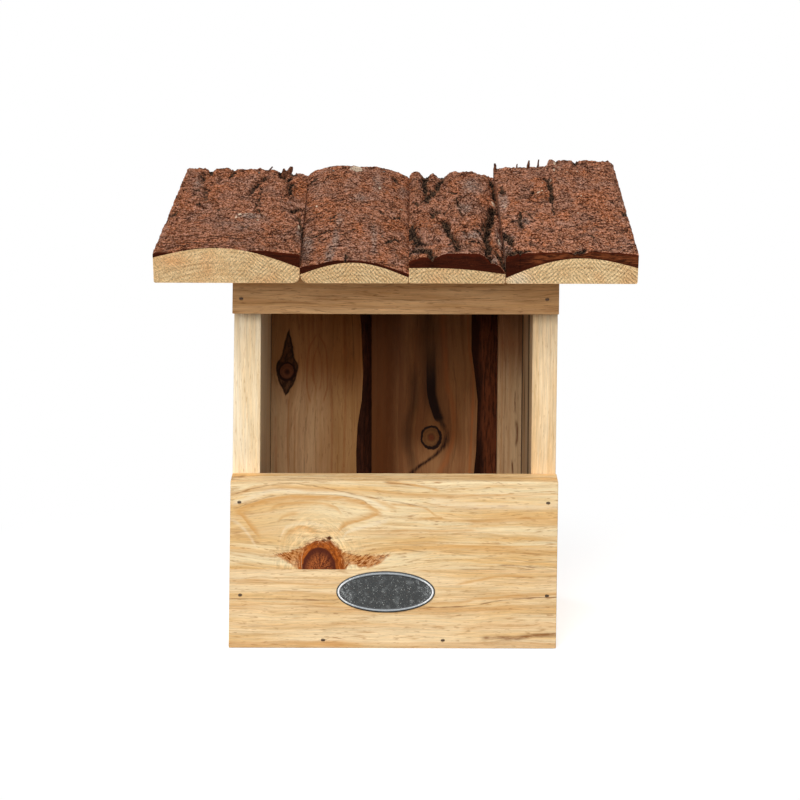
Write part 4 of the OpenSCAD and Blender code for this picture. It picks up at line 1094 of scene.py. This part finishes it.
def makeBark(number):
    # a fine grid laid over the wood, lifted to the bark's outside, with sawn edges below it
    slab = slabs[number]
    name = "roof_bark_%d" % (number + 1)
    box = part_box(name)
    wide = max(slab["width"])
    sealLeft = roof["seal"] if number > 0 else 0.0
    sealRight = roof["seal"] if number < len(slabs) - 1 else 0.0
    bm = bmesh.new()
    bmesh.ops.create_grid(bm, x_segments=round(wide / roof["cell"]),
                          y_segments=round(slabLength / roof["cell"]), size=1.0)
    layers = {key: bm.verts.layers.float.new(key) for key in
              ("cleft", "grey", "rust", "pale", "across", "along", "thick", "lift")}
    for vert in bm.verts:
        u, v = (vert.co.x + 1) / 2, (vert.co.y + 1) / 2
        width = between(slab["width"], v)
        x, y = u * width, v * slabLength
        wood = woodTop(slab, u, v)
        height, deep = barkRelief(number, x, y)
        base = listed(slab["barkEave"], u) * (1 - v) + listed(slab["barkWall"], u) * v
        thick = base + height * smooth(0.2, 2.4, base) - slab.get("sink", 0.0) * v
        # neighbours nearly touch, so that no light shows between them
        seal = sealRight * u ** 8 - sealLeft * (1 - u) ** 8
        if number == ledge["slab"]:
            jag = noise.noise(Vector((y * 0.35, 3.1, 0))) * 1.6 \
                + noise.noise(Vector((y * 1.1, 7.1, 0))) * 0.8
            fall = smooth(0, ledge["edge"], ledge["u"] * slab["width"][0] - x + jag)
            thick -= ledge["drop"] * fall * smooth(0, ledge["fade"], y - ledge["v"] * slabLength)
        worn = sum(math.exp(-(off / reach) ** 2) * depth for off, (reach, depth) in (
            (min(x, width - x), barkWear["side"]), (y, barkWear["eave"])))
        thick = max(roof["least"], thick - worn)
        # nothing rises over the top of the solid
        left = leftEdge(number, v) + x + seal
        place = onRoof(left, y, wood + thick)
        over = place.z - (box[1].z - roof["room"] * mm)
        if over > 0:
            thick -= over / mm / math.cos(roof["slope"])
            place = onRoof(left, y, wood + thick)
        found = {key: patchShare(rows[number], x, y) for key, rows in patches.items()}
        found.update({"cleft": deep, "across": u, "along": v, "thick": thick, "lift": 1.0})
        for key, value in found.items():
            vert[layers[key]] = value
        vert.co = place
    for face in bm.faces:
        face.smooth = True
    skin = set(bm.faces)
    grown = bmesh.ops.extrude_face_region(bm, geom=bm.faces[:])
    lower = {part for part in grown["geom"] if isinstance(part, bmesh.types.BMVert)}
    under = {part for part in grown["geom"] if isinstance(part, bmesh.types.BMFace)}
    across, along = layers["across"], layers["along"]
    for vert in lower:
        u, v = vert[across], vert[along]
        vert[layers["lift"]] = 0.0
        vert.co = onRoof(leftEdge(number, v) + u * between(slab["width"], v), v * slabLength,
                         woodTop(slab, u, v))
    upright = [edge for edge in bm.edges if (edge.verts[0] in lower) != (edge.verts[1] in lower)]
    bmesh.ops.subdivide_edges(bm, edges=upright, cuts=roof["sawnRows"], use_grid_fill=True)
    for face in bm.faces:
        if face in skin or face in under:
            continue
        face.smooth = False
        place = sum(vert[along] for vert in face.verts) / len(face.verts)
        thick = sum(vert[layers["thick"]] for vert in face.verts) / len(face.verts)
        face.material_index = 1 if (place < 0.001 or place > 0.999) and thick > 0.8 else 0
    bmesh.ops.recalc_face_normals(bm, faces=bm.faces[:])
    return finishPiece(bm, name + "_look", [roofBark, sawnBark], [name])


def inScene(name, data):
    made = bpy.data.objects.new(name, data)
    bpy.context.scene.collection.objects.link(made)
    return made


def meshInScene(bm, name, materials):
    mesh = bpy.data.meshes.new(name)
    bm.to_mesh(mesh)
    bm.free()
    for material in materials:
        mesh.materials.append(material)
    return inScene(name, mesh)


def finishPiece(bm, name, materials, replaced):
    piece = meshInScene(bm, name, materials)
    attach(piece, "root")
    if replaced:
        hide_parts(*replaced)
    return piece


for number in range(len(slabs)):
    makeBark(number)
print("bark made")

# loose splinters at the upper edge: slab, foot and tip as (x, y, height over the wood), radius
splinters = [
    (0, (52.2, 176, 2.5), (56.6, 187, 6.8), 0.8), (0, (66, 179, 2), (69.2, 187, 8.4), 2.6),
    (0, (63.2, 184, 1), (64.2, 188, 6.2), 1.6), (3, (0.9, 187.2, 12), (0.7, 188.2, 16.4), 1.3),
    (3, (15.2, 188, 8), (15.5, 188.4, 11.2), 0.7), (3, (22.4, 187.2, 6), (23.2, 188.4, 11.6), 1.1),
    (3, (29, 188, 5), (29.6, 188.4, 11.6), 0.9),
]


def splinterFinish():
    # torn inner bark
    finish = Finish("splinterWood")
    spot = finish.spot()
    fibres = finish.cloud(spot, (1.8, 0.6, 0.6), detail=3, roughness=0.7)
    colour = finish.blend(fibres.ease(0.4, 0.62), (58, 30, 20), (126, 80, 56))
    return finish.drive({"Base Color": colour, "Roughness": 0.8,
                         "Normal": finish.relief(fibres, 0.4), "Specular IOR Level": 0.04})


def makeSplinters():
    # cones, rough all round
    bm = bmesh.new()
    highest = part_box("roof_bark_4")[1].z - 0.1 * mm
    for number, foot, tip, radius in splinters:
        ends = []
        for x, y, height in (foot, tip):
            v = y / slabLength
            u = x / between(slabs[number]["width"], v)
            spot = onRoof(leftEdge(number, v) + x, y, woodTop(slabs[number], u, v) + height)
            spot.z = min(spot.z, highest)
            ends.append(spot)
        along = ends[1] - ends[0]
        turn = along.to_track_quat("Z", "Y").to_matrix().to_4x4()
        place = Matrix.Translation((ends[0] + ends[1]) / 2) @ turn
        made = bmesh.ops.create_cone(bm, cap_ends=True, segments=8, radius1=radius * mm,
                                     radius2=radius * 0.5 * mm, depth=along.length, matrix=place)
        sides = [edge for edge in bm.edges if all(vert in set(made["verts"]) for vert in edge.verts)
                 and edge.calc_length() > along.length * 0.9]
        bmesh.ops.subdivide_edges(bm, edges=sides, cuts=4, use_grid_fill=True)
    # noise_vector starts from the clock, unless it is given a seed
    noise.seed_set(3)
    for vert in bm.verts:
        push = noise.noise_vector(vert.co / mm * 0.8) * 0.4 * mm
        vert.co += Vector((push.x, push.y, min(0.0, push.z)))
    bmesh.ops.recalc_face_normals(bm, faces=bm.faces[:])
    finishPiece(bm, "roof_splinters_look", [splinterFinish()], [])


makeSplinters()
print("splinters made")

# faces that lean more than this are waney; metres and square metres of area
wane = {"lean": 0.12, "leastArea": 2e-6, "cuts": 6, "rough": 0.5, "push": (0.5, -0.8, 0)}
boards = {
    # leftEdge moves the left end by so many millimetres at the foot and at the front's upper edge,
    # topSlant the upper edge by so much at the face and at the back
    "front_board_upper": {"finish": "upper", "sharpZ": 49.7, "leftEdge": (-1.9, 0.2),
                          "rightEdge": 0.5, "topSlant": (-1.2, 1.0)},
    "front_board_lower": {"finish": "lower", "sharpZ": 49.7, "leftEdge": (-1.9, 0.2),
                          "rightEdge": 0.5},
    "top_rail": {"finish": "rail", "leftEdge": (-1.9, 0.2), "rightEdge": -0.5},
    "side_left": {"finish": "sideLeft", "leftEdge": (-1.9, 0.2), "inner": True},
    "side_right": {"finish": "sideRight", "inside": 0.7},
    "back_board_left": {"finish": "backLeft", "wane": True, "seam": 0.2},
    "back_board_middle": {"finish": "backMiddle", "wane": True, "seam": 0.2},
    "back_board_right": {"finish": "backRight"},
    "floor_board": {"finish": "floor"},
}
for number in range(1, len(slabs) + 1):
    boards["roof_slab_%d" % number] = {"finish": "slab%d" % number}
softEdge = {"radius": 0.45, "least": 8.0, "segments": 2, "leastAngle": 35}
# where the edges that move lie: beyond sideX, within buttReach of the right end, left of innerX,
# and above frontTop on the front, whose face is at faceY
moved = {"sideX": 98.8, "buttReach": 0.6, "innerX": 90, "slantHeight": 106, "frontTop": 104,
         "faceY": -71, "thickness": 16}


def waneFinish():
    # the waney edges of the back boards: old bark in deep shade, with painted shadow next to the
    # middle board's face and painted light on the lower outer part of its wane
    finish = Finish("waneBark")
    spot = finish.spot()
    grit = finish.cloud(spot, (0.8, 0.8, 0.09), detail=4, roughness=0.7)
    patches = finish.cloud(spot, (0.1, 0.1, 0.02))
    x, _, z = finish.parts(spot)
    # painted light on the lower outer part of the wane
    paintedLight = (x + (patches - 0.5) * 8).ease(57, 61) * z.ease(210, 140)
    # painted shadow on the part of the wane next to the board's face
    paintedShadow = (x + (patches - 0.5) * 8).ease(60, 55) * x.ease(30, 40)
    colour = finish.blend(patches.ease(0.4, 0.62), (66, 36, 24), (92, 48, 30))
    colour = colour.mixed(paintedLight * 0.8, (126, 68, 40))
    colour = colour.mixed(paintedShadow * 0.75, (34, 14, 8))
    colour = colour.mixed(grit.ease(0.56, 0.36) * 0.8, (40, 22, 17))
    return finish.drive({"Base Color": colour, "Roughness": 0.85,
                         "Normal": finish.relief(grit, 0.8), "Specular IOR Level": 0.04})


waneBark = waneFinish()


def makeBoard(name, look):
    # the solid of the board with softened edges, waney sides and the lean of the real box
    bm = bmesh.new()
    bm.from_mesh(nodes[name].data)
    bmesh.ops.remove_doubles(bm, verts=bm.verts[:], dist=1e-6)
    if look.get("wane"):
        for face in bm.faces:
            leans = face.normal.x > wane["lean"] and face.normal.y < -wane["lean"]
            if leans and face.calc_area() > wane["leastArea"]:
                face.material_index = 1
    bmesh.ops.dissolve_limit(bm, angle_limit=math.radians(0.4), verts=bm.verts[:],
                             edges=bm.edges[:], delimit={"MATERIAL"})
    long = []
    for edge in bm.edges:
        if edge.calc_length() < softEdge["least"] * mm or len(edge.link_faces) != 2:
            continue
        if edge.calc_face_angle_signed() < math.radians(softEdge["leastAngle"]):
            continue
        if "sharpZ" in look and all(abs(v.co.z / mm - look["sharpZ"]) < 0.05 for v in edge.verts):
            continue
        long.append(edge)
    bmesh.ops.bevel(bm, geom=long, offset=softEdge["radius"] * mm, offset_type="OFFSET",
                    affect="EDGES", segments=softEdge["segments"], profile=0.5, material=-1,
                    clamp_overlap=True)
    if look.get("wane"):
        sides = {edge for face in bm.faces if face.material_index == 1 for edge in face.edges}
        bmesh.ops.subdivide_edges(bm, edges=list(sides), cuts=wane["cuts"], use_grid_fill=True)
        for vert in bm.verts:
            if vert.link_faces and all(face.material_index == 1 for face in vert.link_faces):
                spot = vert.co / mm
                push = noise.noise(spot * 0.3) * 0.7 + noise.noise(spot * 0.9) * 0.3
                vert.co += Vector(wane["push"]) * (push - 0.5) * wane["rough"] * mm
    butt = max(vert.co.x for vert in bm.verts) - moved["buttReach"] * mm
    for vert in bm.verts:
        x, y, z = vert.co / mm
        if x > moved["sideX"]:
            vert.co.x += look.get("rightEdge", 0.0) * mm
        if "seam" in look and vert.co.x > butt:
            vert.co.x += look["seam"] * mm
        if "inside" in look and x < moved["innerX"]:
            vert.co.x += look["inside"] * mm
        if "leftEdge" in look:
            push = between(look["leftEdge"], z / moved["slantHeight"]) * mm
            if x < -moved["sideX"]:
                vert.co.x += push
            elif "inner" in look:
                vert.co.x += max(0.0, push)
        if "topSlant" in look and z > moved["frontTop"]:
            share = (y - moved["faceY"]) / moved["thickness"]
            vert.co.z += between(look["topSlant"], share) * mm
    for face in bm.faces:
        face.smooth = False
    return finishPiece(bm, name + "_look", [pine[look["finish"]], waneBark], [name])


for name, look in boards.items():
    makeBoard(name, look)
print("boards made")

badge = {
    "middle": (-4.9, -71.0, 35.8), "half": (30.4, 13.0), "segments": 160,
    # inset from the outline, height over the board, finish of the ring that ends there
    "profile": [(0.0, 0.62, 0), (0.14, 0.82, 0), (0.85, 0.92, 0), (1.0, 0.98, 1), (1.9, 1.0, 1),
                (2.1, 0.84, 2), (2.4, 0.62, 2), (2.7, 0.6, 3)],
}
# finishes of the badge's rings, from the outside in: dark tone, and light tone for the painted
# highlight at the ends
badgeEdges = {
    "badgeEdge": ((44, 46, 47), (70, 72, 72)), "badgeRing": ((166, 172, 176), (252, 253, 253)),
    "badgeGap": ((38, 39, 40), (50, 52, 53)),
}


def badgeShare(finish, spot):
    # how near to the left and right ends of the oval a place is
    x = finish.parts(spot)[0]
    return abs(x - badge["middle"][0]) / badge["half"][0]


def badgeEdgeFinish(name, dark, light):
    # paint with some wear, made lighter towards the two ends of the oval by a painted highlight
    finish = Finish(name)
    spot = finish.spot()
    worn = finish.cloud(spot, scale=0.9, detail=3, roughness=0.7)
    # painted highlight towards the ends of the oval
    share = (badgeShare(finish, spot) + (worn - 0.5) * 0.6).ease(0.55, 1.0)
    colour = finish.blend(share, dark, light)
    colour = finish.tinted(colour, 1 + (worn - 0.5) * 0.7)
    return finish.drive({"Base Color": colour, "Roughness": 0.45, "Metallic": 0.2,
                         "Normal": finish.relief(worn, 0.05)})


def badgeFieldFinish():
    # dark field with a grey bloom, pale specks and a few brown ones
    finish = Finish("badgeField")
    spot = finish.spot()
    bloom = finish.cloud(spot, scale=0.25, detail=3)
    grit = finish.cloud(spot, scale=1.9, detail=3, roughness=0.75)
    specks = finish.cloud(spot, (1.5, 1.5, 1.5), (7, 3, 5), detail=1)
    colour = finish.blend(grit.ease(0.35, 0.7), (32, 34, 35), (74, 77, 77))
    colour = colour.mixed(bloom.ease(0.5, 0.75) * 0.45, (126, 130, 130))
    colour = colour.mixed(specks.ease(0.66, 0.74) * 0.7, (196, 198, 194))
    worn = (badgeShare(finish, spot) + (bloom - 0.5) * 0.5).ease(0.62, 0.86)
    colour = colour.mixed(worn * specks.ease(0.46, 0.6) * 0.6, (170, 174, 174))
    colour = colour.mixed(specks.ease(0.3, 0.24) * 0.5, (120, 92, 74))
    return finish.drive({"Base Color": colour, "Roughness": 0.5 + grit * 0.2, "Metallic": 0.0,
                         "Normal": finish.relief(grit, 0.08)})


def makeBadge():
    # an oval grown ring by ring from the outline inwards
    bm = bmesh.new()
    bmesh.ops.create_circle(bm, cap_ends=True, segments=badge["segments"], radius=1.0)
    middle = Vector(badge["middle"])
    turn = bm.verts.layers.float.new("turn")
    for vert in bm.verts:
        vert[turn] = math.atan2(vert.co.y, vert.co.x)

    def ring(verts, inset, height):
        for vert in verts:
            vert.co = (middle + Vector((math.cos(vert[turn]) * (badge["half"][0] - inset), -height,
                                        math.sin(vert[turn]) * (badge["half"][1] - inset)))) * mm
    ring(bm.verts, 0, 0)
    top = bm.faces[:]
    for step, (inset, height, index) in enumerate(badge["profile"]):
        grown = bmesh.ops.extrude_face_region(bm, geom=top)
        if step > 0:
            bmesh.ops.delete(bm, geom=top, context="FACES_ONLY")
        top = [part for part in grown["geom"] if isinstance(part, bmesh.types.BMFace)]
        verts = [part for part in grown["geom"] if isinstance(part, bmesh.types.BMVert)]
        ring(verts, inset, height)
        for face in {face for vert in verts for face in vert.link_faces}:
            face.material_index = index
            face.smooth = face not in top
    bmesh.ops.recalc_face_normals(bm, faces=bm.faces[:])
    materials = [badgeEdgeFinish(name, *tones) for name, tones in badgeEdges.items()]
    finishPiece(bm, "oval_badge_look", materials + [badgeFieldFinish()], ["oval_badge"])


makeBadge()


def bradFinish():
    # dull steel with some rust
    finish = Finish("bradSteel")
    grit = finish.cloud(finish.spot(), scale=2.2, detail=3)
    colour = finish.blend(grit.ease(0.4, 0.65), (96, 78, 62), (62, 46, 36))
    return finish.drive({"Base Color": colour, "Roughness": 0.55, "Metallic": 0.4})


bradSteel = bradFinish()
for name in ("front_brads", "rail_brads", "back_brads", "side_brads", "roof_brads"):
    nodes[name].data.materials.clear()
    nodes[name].data.materials.append(bradSteel)
print("badge and brads made")

# the shadow shows up to shadeOnly from the middle and is gone at plainWhite; size and under, how
# far the floor lies below the box, are in metres
floorLook = {"white": 0.94, "grey": 0.35, "lift": 0.5, "shadeOnly": 220.0, "plainWhite": 420.0,
             "size": 30.0, "under": 0.0002}


def makeFloor():
    # white for the camera, with the box's shadow on it, and a grey floor for the light that it
    # throws back
    finish = Finish("whiteFloor")
    far = finish.add("VectorMath", {"operation": "LENGTH"}, [finish.spot()], output=1)
    seen = finish.add("LightPath")
    glow = finish.add("Emission", values={"Color": (1, 1, 1, 1), "Strength": 1.0})
    dull = finish.add("BsdfDiffuse", values={"Color": (floorLook["grey"],) * 3 + (1,)})
    finish.drive({"Base Color": (floorLook["white"],) * 3 + (1,), "Roughness": 1.0,
                  "Specular IOR Level": 0.0, "Emission Color": (1, 1, 1, 1),
                  "Emission Strength": floorLook["lift"]})
    near = finish.add("MixShader", values=[seen, dull, Strand(finish, finish.shader.outputs[0])])
    white = seen * far.ease(floorLook["shadeOnly"], floorLook["plainWhite"])
    mixed = finish.add("MixShader", values=[white, near, glow])
    finish.tree.links.new(mixed.socket, finish.end.inputs[0])
    bm = bmesh.new()
    bmesh.ops.create_grid(bm, x_segments=1, y_segments=1, size=floorLook["size"])
    bmesh.ops.translate(bm, verts=bm.verts[:], vec=(0, 0, -floorLook["under"]))
    floor = meshInScene(bm, "floor", [finish.material])


makeFloor()

# metres and watts
lamps = {
    "windowLight": {"place": (-0.35, -1.9, 1.2), "size": (1.7, 1.6), "power": 45.0},
    "lowLight": {"place": (0.1, -1.8, 0.25), "size": (1.4, 0.8), "power": 1.5},
    "leftRearLight": {"place": (-1.5, 1.3, 0.4), "size": (1.0, 1.0), "power": 14.0},
    "rightRearLight": {"place": (1.5, 1.3, 0.4), "size": (1.0, 1.0), "power": 14.0},
}
lampAim = (0, 0, 0.15)


def makeLamp(name, look):
    data = bpy.data.lights.new(name, "AREA")
    data.shape = "RECTANGLE"
    data.size, data.size_y = look["size"]
    data.energy = look["power"]
    lamp = inScene(name, data)
    lamp.location = look["place"]
    away = Vector(lampAim) - Vector(look["place"])
    lamp.rotation_euler = away.to_track_quat("-Z", "Y").to_euler()


for name, look in lamps.items():
    makeLamp(name, look)

ambient = 0.25


def makeWorld():
    # white for the camera, metal and glass, dim for the light that falls on the box
    world = bpy.data.worlds.new("plainSky")
    bpy.context.scene.world = world
    sky = Finish("plainSky", world)
    seen, glossy, through = sky.outputs(
        sky.add("LightPath"), ("Is Camera Ray", "Is Glossy Ray", "Is Transmission Ray"))
    dim = sky.add("Background", values={"Color": (1, 1, 1, 1), "Strength": ambient})
    white = sky.add("Background", values={"Color": (1, 1, 1, 1), "Strength": 1.0})
    mixed = sky.add("MixShader", values=[sky.more(sky.more(seen, glossy), through), dim, white])
    sky.tree.links.new(mixed.socket, sky.end.inputs[0])


makeWorld()

view = {"place": (0.0031, -1.35, 0.3457), "turn": (81.526, -0.16, 0.0), "lens": 95.8,
        "sensor": 36.0}


def makeCamera():
    data = bpy.data.cameras.new("camera")
    data.lens = view["lens"]
    data.sensor_width = view["sensor"]
    camera = inScene("camera", data)
    camera.location = view["place"]
    camera.rotation_euler = Euler([math.radians(turn) for turn in view["turn"]])
    bpy.context.scene.camera = camera


makeCamera()
bpy.context.scene.view_settings.view_transform = "Standard"
print("floor, lamps and camera set")
